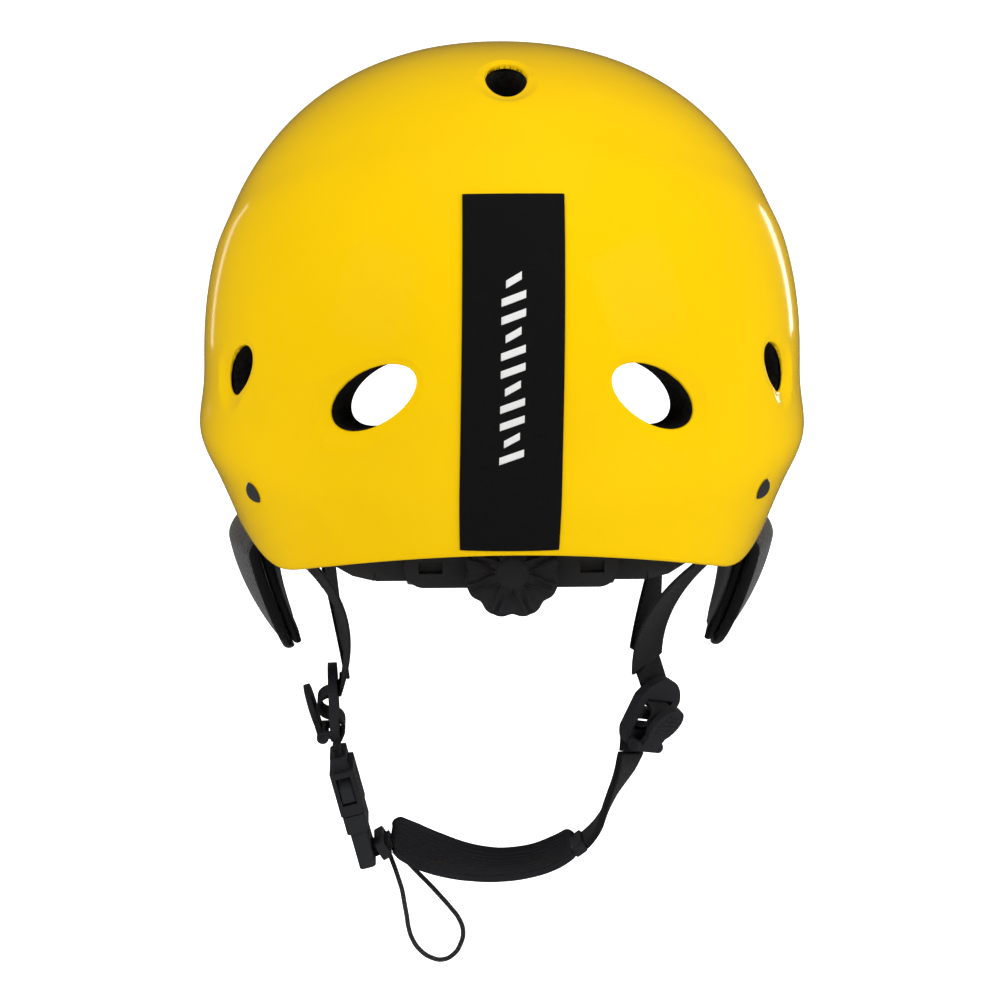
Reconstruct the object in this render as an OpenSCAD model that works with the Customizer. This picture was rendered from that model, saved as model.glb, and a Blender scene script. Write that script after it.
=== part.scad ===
// Water sports helmet: ABS shell, foam liner, dial-adjusted cradle, ear guards and a chin strap.
// +Z is up, +Y is the wearer's face and +X the wearer's right. The origin is the crown pad's
// inner face, where the top of the head rests. Sizes are in millimetres.

/* [Shell] */
// Half length of the dome from centre to rear
shell_half_length = 129; // [110:1:155]
// Half width of the dome at its equator
shell_half_width = 104.5; // [90:0.5:124]
// Height of the crown above the dome's equator
crown_height = 110; // [92:1:132]
// Wall of the moulded shell
shell_wall = 2.6; // [2:0.1:4]
// How far the front is narrower than the rear, as a share of the width
front_taper = 0.05; // [0:0.01:0.08]
// How far the lower band stands proud of the dome
band_step = 0.9; // [0:0.1:3]
// Depth of the rim below the equator at the brow
brow_drop = 20; // [14:1:26]
// Depth of the rim below the equator over the ear
ear_drop = 53; // [46:1:56]
// Depth of the rim below the equator at the nape
nape_drop = 43.5; // [36:0.5:46]

/* [Liner and pads] */
// Thickness of the impact foam
liner_wall = 13; // [8:1:16]
// Thickness of the comfort pads
pad_wall = 7; // [4:0.5:9]
// Radius of the round crown pad
crown_pad_radius = 26; // [18:1:28]

/* [Rivets] */
// Radius of a rivet's shank
rivet_radius = 2; // [1.5:0.1:2.5]
// Radius of a rivet's domed head
rivet_head_radius = 3.9; // [3.5:0.1:5]

/* [Webbing] */
// Width of the webbing
web_width = 15; // [10:0.5:16]
// Thickness of one layer of webbing
web_thickness = 1.4; // [1:0.1:1.8]

/* [Dial] */
// Radius of the dial knob
dial_radius = 16; // [14:0.5:18]
// Length of the knob along its axis
dial_depth = 6.5; // [6:0.5:8]
// Number of petals round the knob
petal_count = 8; // [6:1:10]
// Pitch radius of the pinion
pinion_radius = 3; // [3:0.1:3.6]
// Number of pinion teeth
pinion_teeth = 10; // [10:2:12]

/* [Adjusters] */
// Width of an adjuster frame across the webbing
adjuster_width = 26; // [24:0.5:32]
// Length of an adjuster frame along the webbing
adjuster_length = 29; // [29:0.5:33]
// Thickness of an adjuster frame
adjuster_wall = 3.4; // [3:0.1:4.4]
// Radius of the pin that a lever turns on
lever_pin_radius = 1; // [0.8:0.1:1.3]
// Angle between a lever and its frame at rest
lever_open_angle = 14; // [10:1:30]

/* [Buckle] */
// Width of the side-release buckle
buckle_width = 25; // [24:0.5:30]
// Thickness of the buckle's socket
buckle_thickness = 9; // [9:0.5:12]
// Length of the buckle's socket
socket_length = 21.5; // [20:0.5:24]

/* [Chin cup] */
// Width of the chin cup at its middle
cup_width = 25; // [20:1:30]
// Wall of the chin cup
cup_wall = 2.8; // [2:0.2:4]

/* [Ear guards] */
// Depth of an ear guard below its hinge line
ear_length = 50; // [44:1:60]
// Half length of an ear guard along its hinge line
ear_half_width = 39; // [32:1:40]
// Thickness of the ear guard's outer panel
ear_panel_wall = 3; // [2:0.5:4]
// Thickness of the ear guard's inner pad
ear_pad_wall = 5.5; // [4:0.5:7]

/* [Pull cord] */
// Diameter of the pull cord
cord_diameter = 1.8; // [1.6:0.1:2.2]

/* [Hidden] */

// Shared clearances
glue_gap = 0.5;
pad_gap = 0.8;
free_gap = 0.3;
running_gap = 0.05;
round_fn = 48;

// Dome rule: a superellipse over the equator, and a straight wall below it
dome_power = 2.24;
equator_share = 0.72;
rear_corner_sag = 27.7;
corner_start = 48;
corner_span = 30;
bulge_height = 2;
bulge_spread = 11;
ridge_drop = 22;
lean_radius = 6;
side_lean = 0.42;
rear_lean = 0.16;
front_lean = 0.05;
step_level = 42;
step_spread = 16;
seat_height = crown_height - shell_wall - glue_gap - liner_wall - pad_gap - pad_wall;

function smooth_step(x) = let (c = max(0, min(1, x))) c * c * (3 - 2 * c);
function blend(a, b, t) = a + (b - a) * t;
function unit(v) = v / norm(v);

// Rim height at plan angle a: 0 is the wearer's right and 90 is the face
function rim_level(a) =
    let (from_rear = acos(max(-1, min(1, -sin(a)))))
    let (rear = -nape_drop - rear_corner_sag * pow(sin(from_rear), 2))
    let (side = blend(-ear_drop, -brow_drop, smooth_step(max(0, sin(a)) / 0.95)))
    blend(rear, side, smooth_step((from_rear - corner_start) / corner_span));

// Share of the way from crown to rim at which the shell reaches level z
function share_at(a, z) = z > 0
    ? equator_share * (1 - asin(min(1, pow(z / crown_height, dome_power / 2))) / 90)
    : equator_share + (1 - equator_share) * z / rim_level(a);

// Point of the shell at plan angle a and share v from crown to rim, moved outwards by off
function shell_point(a, v, off = 0) =
    let (climb = v < equator_share ? (1 - v / equator_share) * 90 : 0)
    let (power = 2 / dome_power)
    let (z = v < equator_share
        ? crown_height * pow(sin(climb), power)
        : rim_level(a) * (v - equator_share) / (1 - equator_share))
    let (s = v < equator_share ? pow(abs(cos(climb)), power) : 1)
    let (x = shell_half_width * s * cos(a) * (1 - front_taper * sin(a) * s))
    let (y = shell_half_length * s * sin(a))
    let (flat = v < equator_share ? s : 1)
    let (n = unit([
        flat * cos(a) / shell_half_width,
        flat * sin(a) / shell_half_length,
        max(0, z) / pow(crown_height, 2) + (v == 0 ? 1 : 0)
    ]))
    let (depth = max(0, -ridge_drop - z))
    let (lean = (depth < 2 * lean_radius ? depth * depth / (4 * lean_radius) : depth - lean_radius)
        * (side_lean * pow(cos(a), 2) + rear_lean * pow(max(0, -sin(a)), 2)
            + front_lean * pow(max(0, sin(a)), 2)))
    let (out = off - lean
        + band_step * smooth_step((step_level - z - 0.5 * y) / step_spread + 0.5)
        + bulge_height * exp(-pow((z + ridge_drop) / bulge_spread, 2)) * pow(abs(cos(a)), 3))
    [x, y, z] + n * out;

function shell_at(a, z, off = 0) = shell_point(a, share_at(a, z), off);
function shell_normal(a, z) = unit(cross(
    shell_at(a + 0.5, z) - shell_at(a - 0.5, z),
    shell_at(a, z + 0.5) - shell_at(a, z - 0.5)));

// Places children with their Z along the shell's outward normal and their X down the shell
module on_shell(a, z, off = 0, roll = 0) {
    n = shell_normal(a, z);
    translate(shell_at(a, z) + n * off)
        rotate([0, acos(n[2]), atan2(n[1], n[0])])
            rotate([0, 0, roll])
                children();
}

// Every node is drawn in the dome's frame and dropped so that the head rests at the origin
module seated() {
    translate([0, 0, -seat_height]) children();
}

// Drawn on the wearer's right; side -1 gives the left-hand copy
module mirrored(side) {
    mirror([side < 0 ? 1 : 0, 0, 0]) children();
}

// Closed solid between two layers of rows x columns points
function layer_faces(rows, cols, base, flip) = [
    for (i = [0 : rows - 2], j = [0 : cols - 2], half = [0, 1])
        let (p = base + i * cols + j)
        let (f = half == 0 ? [p, p + 1, p + cols] : [p + 1, p + cols + 1, p + cols])
        flip ? [f[2], f[1], f[0]] : f
];
function edge_faces(loop, shift) = [
    for (i = [0 : len(loop) - 1], half = [0, 1])
        let (p = loop[i])
        let (q = loop[(i + 1) % len(loop)])
        half == 0 ? [p, p + shift, q] : [q, p + shift, q + shift]
];
function border(rows, cols) = concat(
    [for (j = [0 : cols - 2]) j],
    [for (i = [0 : rows - 2]) i * cols + cols - 1],
    [for (j = [cols - 1 : -1 : 1]) (rows - 1) * cols + j],
    [for (i = [rows - 1 : -1 : 1]) i * cols]);
module slab(front, back) {
    rows = len(front);
    cols = len(front[0]);
    total = rows * cols;
    polyhedron(
        [for (row = front) each row, for (row = back) each row],
        concat(
            layer_faces(rows, cols, 0, false),
            layer_faces(rows, cols, total, true),
            edge_faces(border(rows, cols), total)),
        convexity = 6);
}

// Piece of the head form between two plan angles and two levels, such as a pad
module shell_patch(a0, a1, z0, z1, off_out, off_in, cols = 12, rows = 6) {
    layers = [for (off = [off_out, off_in]) [
        for (i = [0 : rows]) [
            for (j = [0 : cols]) shell_at(blend(a0, a1, j / cols), blend(z0, z1, i / rows), off)
        ]
    ]];
    slab(layers[0], layers[1]);
}

// Whole dome between two offsets, open below, with its edge at share edge(a)
module dome_solid(off_out, off_in, edge, cols, rows) {
    step = 360 / cols;
    function ring(i, off) = [
        for (j = [0 : cols - 1]) shell_point(j * step, edge(j * step) * i / rows, off)
    ];
    function wrap(j) = (j + 1) % cols;
    total = 1 + rows * cols;
    points = [
        shell_point(0, 0, off_out), for (i = [1 : rows]) each ring(i, off_out),
        shell_point(0, 0, off_in), for (i = [1 : rows]) each ring(i, off_in)
    ];
    skin = [
        for (j = [0 : cols - 1]) [0, 1 + wrap(j), 1 + j],
        for (i = [0 : rows - 2], j = [0 : cols - 1], half = [0, 1])
            let (p = 1 + i * cols)
            half == 0
                ? [p + j, p + wrap(j), p + cols + j]
                : [p + wrap(j), p + cols + wrap(j), p + cols + j]
    ];
    rim = 1 + (rows - 1) * cols;
    polyhedron(points, concat(
        skin,
        [for (f = skin) [f[2] + total, f[1] + total, f[0] + total]],
        [for (j = [0 : cols - 1], half = [0, 1])
            half == 0
                ? [rim + j, rim + wrap(j), rim + total + j]
                : [rim + wrap(j), rim + total + wrap(j), rim + total + j]]),
        convexity = 8);
}

// Flat band swept along a route; sides says which way its width points at each point
function route_tangent(p, i) = unit(p[min(i + 1, len(p) - 1)] - p[max(i - 1, 0)]);
function ribbon_layer(p, sides, width, off) = [
    for (i = [0 : len(p) - 1])
        let (t = route_tangent(p, i))
        let (w = unit(sides[i] - t * (sides[i] * t)))
        let (n = cross(t, w))
        [p[i] - w * width / 2 + n * off, p[i] + w * width / 2 + n * off]
];
module ribbon(p, sides, width, thick) {
    slab(ribbon_layer(p, sides, width, thick / 2), ribbon_layer(p, sides, width, -thick / 2));
}
function level_side(turn) = [sin(turn), cos(turn), 0];

// ---------------------------------------------------------------- shell, liner and pads

// Vents as [plan angle, level, half length, half width, roll of the long axis from downwards]
side_vents = [
    [295.3, 6, 18.4, 9.4, 60],
    [328.3, 6.6, 13, 7.3, 52],
    [22, 102, 13, 7, 0],
    [65.5, 30, 16, 8, -60]
];
centre_vents = [
    [270, 104.2, 14, 7.6, 0],
    [90, 103, 11, 6.6, 0]
];
vents = [
    each centre_vents,
    for (v = side_vents) each [v, [180 - v[0], v[1], v[2], v[3], -v[4]]]
];
module vent_cuts(spread) {
    for (v = vents)
        on_shell(v[0], v[1], 0, v[4])
            scale([v[2] + spread, v[3] + spread, 1])
                cylinder(r = 1, h = 60, center = true, $fn = 32);
}

// Rivets as [plan angle, level]: two behind the ears and two at the temples
rear_rivet = [324, -34];
front_rivet = [38, -16];
rivet_places = [
    rear_rivet, [180 - rear_rivet[0], rear_rivet[1]],
    front_rivet, [180 - front_rivet[0], front_rivet[1]]
];
rivet_hole_gap = 0.1;

function full_edge(a) = 1;
function liner_edge(a) = blend(0.93, 0.79, smooth_step((abs(cos(a)) - 0.5) / 0.28));
liner_off = -shell_wall - glue_gap;
pad_off = liner_off - liner_wall - pad_gap;

module outer_shell() {
    color("gold") seated() difference() {
        dome_solid(0, -shell_wall, function (a) full_edge(a), 72, 20);
        vent_cuts(0);
        for (r = rivet_places)
            on_shell(r[0], r[1])
                cylinder(r = rivet_radius + rivet_hole_gap, h = 12, center = true, $fn = round_fn);
    }
}

module impact_liner() {
    color([0.1, 0.1, 0.1]) seated() difference() {
        dome_solid(liner_off, liner_off - liner_wall, function (a) liner_edge(a), 72, 16);
        vent_cuts(0.5);
    }
}

// Vinyl strip of even width down the back, leaning a little to one side
strip_half_width = 16.3;
strip_wall = 0.5;
strip_top = 70.5;
strip_lean = 0.018;
function plan_share(z) =
    z > 0 ? pow(cos(asin(pow(z / crown_height, dome_power / 2))), 2 / dome_power) : 1;
function rear_angle(x, z) =
    270 + asin(x / (shell_half_width * plan_share(z) * (1 + front_taper * plan_share(z))));
module rear_strip() {
    rows = 24;
    cols = 8;
    layers = [for (off = [0.1 + strip_wall, 0.1]) [
        for (i = [0 : rows]) [
            for (j = [0 : cols])
                let (z = blend(strip_top, -nape_drop + 0.5, i / rows))
                let (x = strip_half_width * (2 * j / cols - 1) + strip_lean * (z - 50))
                shell_at(rear_angle(x, z), z, off)
        ]
    ]];
    color([0.06, 0.06, 0.07]) seated() slab(layers[0], layers[1]);
}

module crown_pad() {
    pad_share = equator_share * (1 - acos(pow(crown_pad_radius / shell_half_width,
        dome_power / 2)) / 90);
    color([0.16, 0.16, 0.17]) seated()
        dome_solid(pad_off, pad_off - pad_wall, function (a) pad_share, 24, 3);
}
module pad(a, half_angle, z0, z1) {
    color([0.16, 0.16, 0.17]) seated()
        shell_patch(a - half_angle, a + half_angle, z1, z0, pad_off, pad_off - pad_wall, 10, 4);
}
module front_pad() { pad(90, 34, -12, 9); }
module rear_pad() { pad(270, 9, -24, 36); }
module left_side_pad() { pad(180, 17, -8, 32); }
module right_side_pad() { pad(0, 17, -8, 32); }

// Hook-and-loop patches that hold the pads to the liner, as [plan angle, level]
patch_places = [
    [90, -1], [68, -1], [112, -1], [270, 22], [270, -8], [172, 12], [188, 12], [352, 12], [8, 12]
];
patch_half_angle = 2.6;
patch_half_height = 5;
module pad_fasteners() {
    color([0.25, 0.25, 0.27]) seated()
        for (d = patch_places)
            shell_patch(d[0] - patch_half_angle, d[0] + patch_half_angle, d[1] + patch_half_height,
                d[1] - patch_half_height, pad_off + 0.45, pad_off + 0.1, 2, 2);
}

// ---------------------------------------------------------------- rivets and strap anchors

washer_wall = 0.8;
anchor_wall = 1.6;
anchor_depth = -shell_wall - glue_gap - 2.5;
module at_rivets() {
    for (r = rivet_places) on_shell(r[0], r[1]) children();
}
module rivets() {
    head_height = 2;
    sphere_radius = (pow(rivet_head_radius, 2) + pow(head_height, 2)) / (2 * head_height);
    tail = anchor_depth - anchor_wall - washer_wall - 0.2;
    color("silver") seated() at_rivets() {
        intersection() {
            translate([0, 0, 0.2 + head_height - sphere_radius]) sphere(r = sphere_radius, $fn = round_fn);
            translate([0, 0, 0.2]) cylinder(r = rivet_head_radius, h = head_height, $fn = round_fn);
        }
        translate([0, 0, tail]) cylinder(r = rivet_radius, h = 0.3 - tail, $fn = round_fn);
        translate([0, 0, tail - 0.8]) cylinder(r = rivet_radius + 1, h = 0.9, $fn = round_fn);
    }
}
module rivet_washers() {
    color("silver") seated() at_rivets()
        translate([0, 0, anchor_depth - anchor_wall - washer_wall - 0.1]) difference() {
            cylinder(r = rivet_radius + 3, h = washer_wall, $fn = round_fn);
            translate([0, 0, -1])
                cylinder(r = rivet_radius + rivet_hole_gap, h = washer_wall + 2, $fn = round_fn);
        }
}

// Plate under each rivet, with a slot that the webbing is sewn round
anchor_length = 15;
module strap_anchors() {
    color([0.1, 0.1, 0.1]) seated() at_rivets()
        translate([0, 0, anchor_depth - anchor_wall]) difference() {
            union() {
                cylinder(r = 6, h = anchor_wall, $fn = round_fn);
                translate([0, -6, 0]) cube([anchor_length, 12, anchor_wall]);
            }
            translate([0, 0, -1])
                cylinder(r = rivet_radius + rivet_hole_gap, h = anchor_wall + 2, $fn = round_fn);
            translate([anchor_length - 4.5, -4.5, -1]) cube([2.2, 9, anchor_wall + 2]);
        }
}

// ---------------------------------------------------------------- upper straps

// Each adjuster as [place, lean about Y, turn about its own length]
left_adjuster = [[-61, 0, -129], -2.2, 180];
right_adjuster = [[54.6, 0, -134.4], 24.8, -42];
module at_adjuster(at) {
    translate(at[0]) rotate([0, at[1], 0]) rotate([0, 0, at[2]]) children();
}
function adjuster_point(at, z) = at[0] + z * [sin(at[1]), 0, cos(at[1])];

// Each strap bends once, from its anchor plate to the inner face of its adjuster
strap_steps = 8;
strap_start_gap = 8;
function strap_start(side, rivet) =
    let (p = shell_at(rivet[0], rivet[1] - anchor_length - strap_start_gap,
        anchor_depth - anchor_wall / 2))
    [side * p[0], p[1], p[2]];
function strap_route(start, bend, finish) = [
    for (i = [0 : strap_steps])
        let (t = i / strap_steps)
        pow(1 - t, 2) * start + 2 * t * (1 - t) * bend + t * t * finish
];
module strap(side, rivet, bend, finish, last_turn) {
    first_turn = side * (rivet[0] > 180 ? 32 : -32);
    route = strap_route(strap_start(side, rivet), bend, finish);
    sides = [
        for (i = [0 : strap_steps])
            level_side(blend(last_turn, first_turn, pow(1 - i / strap_steps, 1.3)))
    ];
    color([0.08, 0.08, 0.09]) seated() ribbon(route, sides, web_width, web_thickness);
}
strap_pair_gap = web_thickness + 2.2;
left_pair_gap = strap_pair_gap + 1.4;
right_strap_turn = -right_adjuster[2];
left_strap_end = left_adjuster[0] + [adjuster_wall / 2 + 1.3, 0, adjuster_length / 2 - 6];
right_strap_end = right_adjuster[0] + [-1.4, 0, adjuster_length / 2 + 5];
module left_rear_strap() {
    strap(-1, rear_rivet, left_strap_end + [7, -30, 36], left_strap_end + [0, -1.5, 0], 0);
}
module left_front_strap() {
    strap(-1, front_rivet, left_strap_end + [-5, 24, 38],
        left_strap_end + [left_pair_gap, 1.5, 2], 0);
}
module right_rear_strap() {
    strap(1, rear_rivet, right_strap_end + [-2, -30, 32], right_strap_end + [0, -1.5, 0],
        right_strap_turn);
}
module right_front_strap() {
    strap(1, front_rivet, right_strap_end + [5, 24, 34],
        right_strap_end + strap_pair_gap * [-cos(right_strap_turn), sin(right_strap_turn), 0]
            + [0, 0, 2], right_strap_turn);
}

// ---------------------------------------------------------------- adjusters

slot_width = web_width + 1.5;
slot_height = 4.2;
bar_width = 3.2;
lever_hinge_out = adjuster_wall / 2 + 2.9;
lever_hinge_up = 3.2 - adjuster_length / 2;
lug_wall = 2.4;
barrel_radius = 2.2;
barrel_length = adjuster_width - 2 * lug_wall - 9.6;

module adjuster_frame(at) {
    color([0.07, 0.07, 0.08]) seated() at_adjuster(at) difference() {
        union() {
            translate([-adjuster_wall / 2, 0, 0]) rotate([0, 90, 0]) intersection() {
                cylinder(r = adjuster_length / 2, h = adjuster_wall, $fn = 64);
                translate([-adjuster_length / 2, -adjuster_width / 2, 0])
                    cube([adjuster_length, adjuster_width, adjuster_wall]);
            }
            for (side = [-1, 1])
                translate([0, side * (barrel_length / 2 + 0.2 + lug_wall / 2) - lug_wall / 2, 0]) {
                    translate([lever_hinge_out, 0, lever_hinge_up]) rotate([-90, 0, 0])
                        cylinder(r = barrel_radius, h = lug_wall, $fn = round_fn);
                    translate([0, 0, lever_hinge_up - 0.4])
                        cube([lever_hinge_out, lug_wall, barrel_radius + 0.4]);
                }
        }
        for (side = [-1, 1])
            translate([-adjuster_wall, -slot_width / 2, side * (bar_width + slot_height) / 2
                    + side * 0.4 - slot_height / 2])
                cube([2 * adjuster_wall, slot_width, slot_height]);
        translate([lever_hinge_out, -adjuster_width, lever_hinge_up]) rotate([-90, 0, 0])
            cylinder(r = lever_pin_radius + running_gap, h = 2 * adjuster_width, $fn = round_fn);
    }
}
module left_adjuster_frame() { adjuster_frame(left_adjuster); }
module right_adjuster_frame() { adjuster_frame(right_adjuster); }

// Oval lever that clamps the webbing, on a barrel with a pin at each end
lever_length = 19;
lever_width = 16;
lever_wall = 2.2;
module adjuster_lever(at) {
    color([0.05, 0.05, 0.06]) seated() at_adjuster(at)
        translate([lever_hinge_out, 0, lever_hinge_up]) {
            rotate([-90, 0, 0]) translate([0, 0, -barrel_length / 2])
                cylinder(r = barrel_radius, h = barrel_length, $fn = round_fn);
            pin_length = barrel_length + 2 * lug_wall;
            rotate([-90, 0, 0]) translate([0, 0, -pin_length / 2])
                cylinder(r = lever_pin_radius, h = pin_length, $fn = round_fn);
            rotate([0, lever_open_angle, 0]) translate([-0.4, 0, 0]) rotate([0, -90, 180])
                linear_extrude(lever_wall) {
                    translate([lever_length - lever_width / 2, 0])
                        circle(r = lever_width / 2, $fn = round_fn);
                    translate([0, 0.3 - barrel_length / 2])
                        square([lever_length - lever_width / 2, barrel_length - 0.6]);
                }
        }
}
module left_adjuster_lever() { adjuster_lever(left_adjuster); }
module right_adjuster_lever() { adjuster_lever(right_adjuster); }

// ---------------------------------------------------------------- chin strap

// The chin strap swings about the line through these two points below the adjusters
hang_gap = 1.9;
left_hang = adjuster_point(left_adjuster, -adjuster_length / 2 - hang_gap);
right_hang = adjuster_point(right_adjuster, -adjuster_length / 2 - hang_gap);

buckle_lean = -14.6;
socket_top_gap = 2.4;
buckle_down = [sin(-buckle_lean), 0, -cos(buckle_lean)];
buckle_place = left_hang + buckle_down * (socket_top_gap + socket_length);
module at_buckle() {
    translate(buckle_place) rotate([0, buckle_lean, 0]) children();
}

module left_tail_strap() {
    top = left_hang;
    bottom = left_hang + buckle_down * (socket_top_gap - 0.1);
    color([0.08, 0.08, 0.09]) seated()
        ribbon([top, (top + bottom) / 2, bottom], [for (i = [0 : 2]) level_side(0)], web_width,
            2 * web_thickness);
}

cup_points = [
    [-39.5, 0, -182], [-32, 0, -186.4], [-23, 0, -190.4], [-12, 0, -193.6], [0, 0, -194.8],
    [12, 0, -193.2], [21, 0, -189.6], [27, 0, -185.6]
];
chin_strap_end = cup_points[len(cup_points) - 1] + [1.6, 0, 1.5];
right_chin_route = [
    right_hang, right_hang + [-2.4, 0, -7], [40.6, 0, -166], [36.4, 0, -176], [31.8, 0, -182],
    chin_strap_end
];
right_chin_turns = [40, 31, 16, 6, 0, 0];
module right_chin_strap() {
    color([0.08, 0.08, 0.09]) seated()
        ribbon(right_chin_route, [for (turn = right_chin_turns) level_side(turn)], web_width,
            2 * web_thickness);
}

// Side-release buckle: X is its thickness, Y its width and Z up its length from the mouth
socket_wall = 1.6;
cavity_depth = socket_length - 6.5;
cavity_half_width = buckle_width / 2 - 2.6;
cavity_half_thickness = buckle_thickness / 2 - socket_wall;
window_low = 4;
window_high = cavity_depth - 0.5;
mouth_gap = 0.35;
prong_reach = window_high - 0.6;
prong_half_thickness = cavity_half_thickness - free_gap;
module rounded_bar(half_x, half_y, z0, z1) {
    translate([0, 0, z0]) linear_extrude(z1 - z0) {
        square([2 * half_x, 2 * half_y - 4], center = true);
        square([2 * half_x - 4, 2 * half_y], center = true);
        for (x = [-1, 1], y = [-1, 1])
            translate([x * (half_x - 2), y * (half_y - 2)]) circle(r = 2, $fn = 32);
    }
}
module centred_box(half_x, half_y, z0, z1) {
    translate([-half_x, -half_y, z0]) cube([2 * half_x, 2 * half_y, z1 - z0]);
}
module buckle_socket() {
    color([0.07, 0.07, 0.08]) seated() at_buckle() difference() {
        union() {
            rounded_bar(buckle_thickness / 2, buckle_width / 2, 0, socket_length - 5);
            rounded_bar(buckle_thickness / 2 - 1.4, buckle_width / 2 - 3, socket_length - 5.1,
                socket_length);
        }
        centred_box(cavity_half_thickness, cavity_half_width, -1, cavity_depth);
        centred_box(cavity_half_thickness - 0.2, buckle_width, window_low, window_high);
        centred_box(buckle_thickness, web_width / 2 + 0.4, socket_length - 4.6, socket_length - 2);
    }
}
plug_shoulder = 7;
plug_length = 21;
module buckle_plug() {
    tongue_half = 2;
    color([0.12, 0.12, 0.13]) seated() at_buckle() difference() {
        union() {
            rounded_bar(buckle_thickness / 2 - 0.4, buckle_width / 2 - 0.3,
                -mouth_gap - plug_shoulder, -mouth_gap);
            rounded_bar(buckle_thickness / 2 - 1.4, buckle_width / 2 - 1.2,
                -mouth_gap - plug_length, -mouth_gap - plug_shoulder + 0.1);
            centred_box(prong_half_thickness, tongue_half, -mouth_gap - 1, prong_reach);
        }
        for (low = [plug_length - 2.4, plug_shoulder + 4.4])
            centred_box(buckle_thickness, web_width / 2 + 0.5, -mouth_gap - low,
                -mouth_gap - low + 3.4);
    }
}
module buckle_prongs() {
    arm_outer = cavity_half_width - free_gap;
    color([0.12, 0.12, 0.13]) seated() at_buckle()
        for (side = [0, 1]) mirror([0, side, 0]) {
            translate([-prong_half_thickness, 0, 0]) rotate([90, 0, 90])
                linear_extrude(2 * prong_half_thickness) polygon([
                    [arm_outer - 2.6, -mouth_gap + 0.02], [arm_outer, -mouth_gap + 0.02],
                    [arm_outer, window_low + 0.4], [buckle_width / 2 - 0.2, window_low + 0.8],
                    [buckle_width / 2 - 0.6, window_high - 4], [arm_outer - 0.4, prong_reach],
                    [arm_outer - 3.4, prong_reach], [arm_outer - 2.6, prong_reach - 5]
                ]);
        }
}

plug_bar = buckle_place + buckle_down * (mouth_gap + plug_length - 4);
link_start = plug_bar + [3.6, 0, 0.6];
link_end = cup_points[0] + [-1.2, 0, 0.6];
link_tilt = atan2(link_end[0] - link_start[0], link_end[2] - link_start[2]);
module buckle_webbing() {
    color([0.08, 0.08, 0.09]) seated()
        ribbon([link_start, (link_start + link_end) / 2, link_end],
            [for (i = [0 : 2]) level_side(0)], web_width, 2 * web_thickness);
}
module strap_keeper() {
    half_gap = web_thickness + 0.4;
    color([0.06, 0.06, 0.07]) seated()
        translate((link_start + link_end) / 2) rotate([0, link_tilt, 0]) difference() {
            rounded_bar(half_gap + 2, web_width / 2 + 2.4, -1.8, 1.8);
            centred_box(half_gap, web_width / 2 + 0.4, -3, 3);
        }
}

// Curved rubber strip, dished along its length, wider at the middle and tilted towards the neck
cup_tilts = [30, 25, 17, 9, 5, 5, 9, 13];
cup_widths = [0.72, 0.86, 0.95, 1, 1, 0.96, 0.86, 0.72];
cup_dish = 3.2;
function cup_row(i, off) =
    let (t = route_tangent(cup_points, i))
    let (w = [0, cos(cup_tilts[i]), sin(cup_tilts[i])])
    let (n = unit(cross(t, w)))
    let (half = cup_width * cup_widths[i] / 2)
    [for (k = [-3 : 3]) let (s = k / 3)
        cup_points[i] + w * half * s + n * (cup_dish * cup_widths[i] * s * s + off)];
module chin_cup() {
    color([0.05, 0.05, 0.05]) seated() slab(
        [for (i = [0 : len(cup_points) - 1]) cup_row(i, cup_wall / 2)],
        [for (i = [0 : len(cup_points) - 1]) cup_row(i, -cup_wall / 2)]);
}

// Loose loop of cord through the keeper, in the dome's frame
cord_route = [
    [-41, -2, -187], [-39.4, -3.4, -191], [-37.9, -4, -195.5], [-36.6, -4, -200], [-35.8, -3.6, -205],
    [-35, -3, -210], [-34.3, -2.4, -215], [-32.8, -1.8, -220], [-29.8, -1.2, -224.6],
    [-25.8, -0.6, -227.6], [-21.6, 0, -228.6], [-17.6, 0.6, -226.8], [-15, 1.2, -223],
    [-14, 1.8, -218.4], [-15.4, 2.4, -213.8], [-18.6, 3, -209.4], [-22.4, 3.6, -205],
    [-26.4, 4.2, -200.6], [-30.4, 4.4, -196.4], [-34.2, 4, -192], [-37.4, 3, -188]
];
module pull_cord() {
    sides = 8;
    count = len(cord_route);
    rings = [for (i = [0 : count - 1])
        let (t = route_tangent(cord_route, i))
        let (u = unit(cross(t, [0, 1, 0])))
        let (w = cross(t, u))
        [for (k = [0 : sides - 1]) cord_route[i]
            + cord_diameter / 2 * (u * cos(k * 360 / sides) + w * sin(k * 360 / sides))]];
    color([0.05, 0.05, 0.05]) seated() polyhedron(
        [for (r = rings) each r],
        concat(
            [[for (k = [0 : sides - 1]) k]],
            [[for (k = [sides - 1 : -1 : 0]) (count - 1) * sides + k]],
            [for (i = [0 : count - 2], k = [0 : sides - 1], half = [0, 1])
                let (p = i * sides + k)
                let (q = i * sides + (k + 1) % sides)
                half == 0 ? [p, p + sides, q] : [q, p + sides, q + sides]]));
}

// ---------------------------------------------------------------- ear guards

ear_hinge_level = -ear_drop;
ear_top = ear_hinge_level + 0.6;
ear_hinge_x = shell_at(0, -ear_drop, -shell_wall - glue_gap)[0];
module ear_tab(side) {
    color([0.12, 0.12, 0.13]) seated() mirrored(side)
        shell_patch(-19, 16, ear_hinge_level + 19, ear_top + 0.8, -shell_wall - glue_gap,
            -shell_wall - glue_gap - 2.4, 8, 3);
}
module left_ear_tab() { ear_tab(-1); }
module right_ear_tab() { ear_tab(1); }

// The guard swells out past the rim by ear_flare, then its tip leans in towards the jaw
ear_flare = 8;
ear_tip_lean = 0.4 * ear_length;
ear_rows = 14;
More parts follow.
